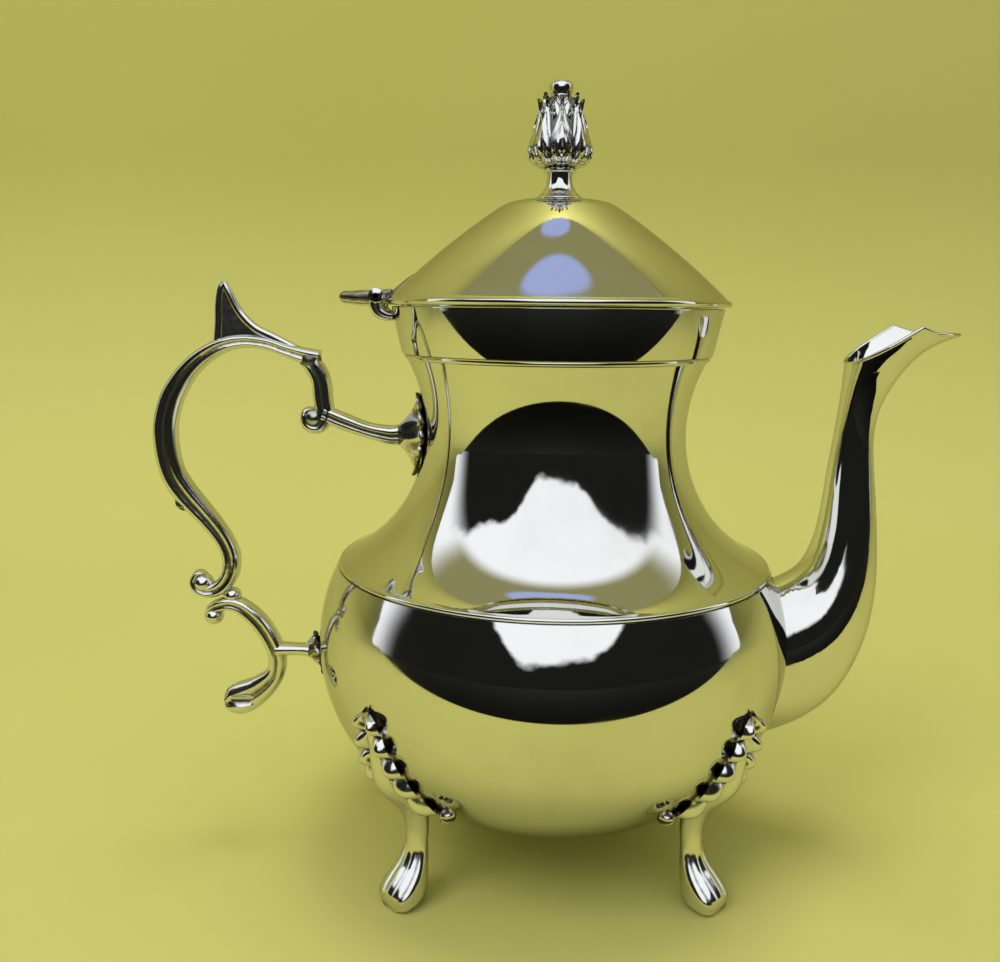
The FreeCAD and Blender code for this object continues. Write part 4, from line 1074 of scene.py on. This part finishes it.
# A very dark floor, seen only in the mirrors.
dark_ground = cloth_material("dark_floor", (0.026, 0.024, 0.018), (0.016, 0.015, 0.012), 6.0)
sweep_line = [(cloth_front, 0.0), (wall_foot, 0.0)]
for angle in np.linspace(0.1, math.pi / 2, 16):
    sweep_line.append((wall_foot + wall_bend * math.sin(angle), wall_bend * (1 - math.cos(angle))))
sweep_line.append((wall_foot + wall_bend, wall_height))
stage_sheet("cloth_sweep", sweep_line, cloth_half_width, pale_cloth)
pale_floor = stage_sheet(
    "pale_floor", [(-floor_reach, 0.0), (cloth_front, 0.0)], floor_reach, pale_cloth)
pale_floor.visible_glossy = False
dark_line = [(-floor_reach, -floor_gap), (cloth_front + cloth_overlap, -floor_gap)]
dark_floor = stage_sheet("dark_floor", dark_line, floor_reach, dark_ground)
dark_floor.visible_camera = False
print("stage: a cloth sweep and two floors, cloth from", cloth_front, "to", wall_foot + wall_bend)

# %% [markdown]
# The room is the world colour, a function of direction: dark near the horizon on the camera's
# side, with a gap in the middle where the sky comes down, white sky above it, and behind the
# zenith a dull olive ceiling with two blue openings. The camera itself sees a plain colour.

# %% Room
white_sky, blue_opening, olive_ceiling = (1.10, 1.15, 1.20), (0.42, 0.50, 0.85), (0.30, 0.29, 0.13)
dark_skyline, plain_room = (0.012, 0.012, 0.010), (0.52, 0.495, 0.145)
world = bpy.data.worlds.new("soft_room")
world.use_nodes = True
bpy.context.scene.world = world
room = world.node_tree
way = add_node(room, "TexCoord").outputs["Generated"]
split = add_node(room, "SeparateXYZ", Vector=way).outputs
patches = add_node(room, "TexNoise", Vector=way, Scale=2.6, Detail=3.0).outputs["Fac"]
gap = ramp(room, maths(room, "ABSOLUTE", split["X"]), 0.22, 0.60, 0.02, 0.42)
skyline = maths(room, "ADD", gap, maths(room, "MULTIPLY", patches, 0.34))
below_sky = ramp(room, maths(room, "SUBTRACT", split["Z"], skyline), 0.0, 0.08, 1.0, 0.0)
in_front = ramp(room, split["Y"], -0.20, 0.10, 1.0, 0.0)
dark_share = maths(room, "MULTIPLY", below_sky, in_front)
overhead, behind = ramp(room, split["Z"], 0.60, 0.82), ramp(room, split["Y"], -0.14, 0.02)
ceiling_share = maths(room, "MULTIPLY", overhead, behind)
dull_share = 1.0
for middle, half_y, half_x in ((0.13, 0.09, 0.20), (0.365, 0.06, 0.10)):
    off_y = maths(room, "DIVIDE", maths(room, "SUBTRACT", split["Y"], middle), half_y)
    off_x = maths(room, "DIVIDE", split["X"], half_x)
    off = maths(room, "ADD", *(maths(room, "MULTIPLY", part, part) for part in (off_y, off_x)))
    dull_share = maths(room, "MULTIPLY", dull_share, ramp(room, off, 0.7, 1.3))
ceiling = mix_color(room, dull_share, blue_opening, olive_ceiling)
sky = mix_color(room, ceiling_share, white_sky, ceiling)
room_color = mix_color(room, dark_share, sky, dark_skyline)
camera_ray = add_node(room, "LightPath").outputs["Is Camera Ray"]
fill(room, room.nodes["Background"], Color=mix_color(room, camera_ray, room_color, plain_room),
     Strength=1.0)
print("room:", len(room.nodes), "nodes")

# %% [markdown]
# Two large soft lamps, one from a window's side and one overhead, give the shadow under the pot.
# The mirrors don't show them, so that no square of light lies on the silver.

# %% Lamps
for name, place, aim, size, power in (
        ("window", (-0.9, -0.9, 1.3), (0, 0, 0.1), 0.9, 10.0),
        ("overhead", (0.1, 0.15, 1.7), (0, 0, 0.0), 0.7, 10.0)):
    lamp_data = bpy.data.lights.new(name, "AREA")
    lamp_data.size = size
    lamp_data.energy = power
    lamp = new_object(name, lamp_data)
    lamp.location = place
    lamp.rotation_euler = (Vector(aim) - Vector(place)).to_track_quat("-Z", "Y").to_euler()
    lamp.visible_glossy = False
    print("lamp", name, power, "W")

bpy.context.scene.view_settings.view_transform = "Standard"
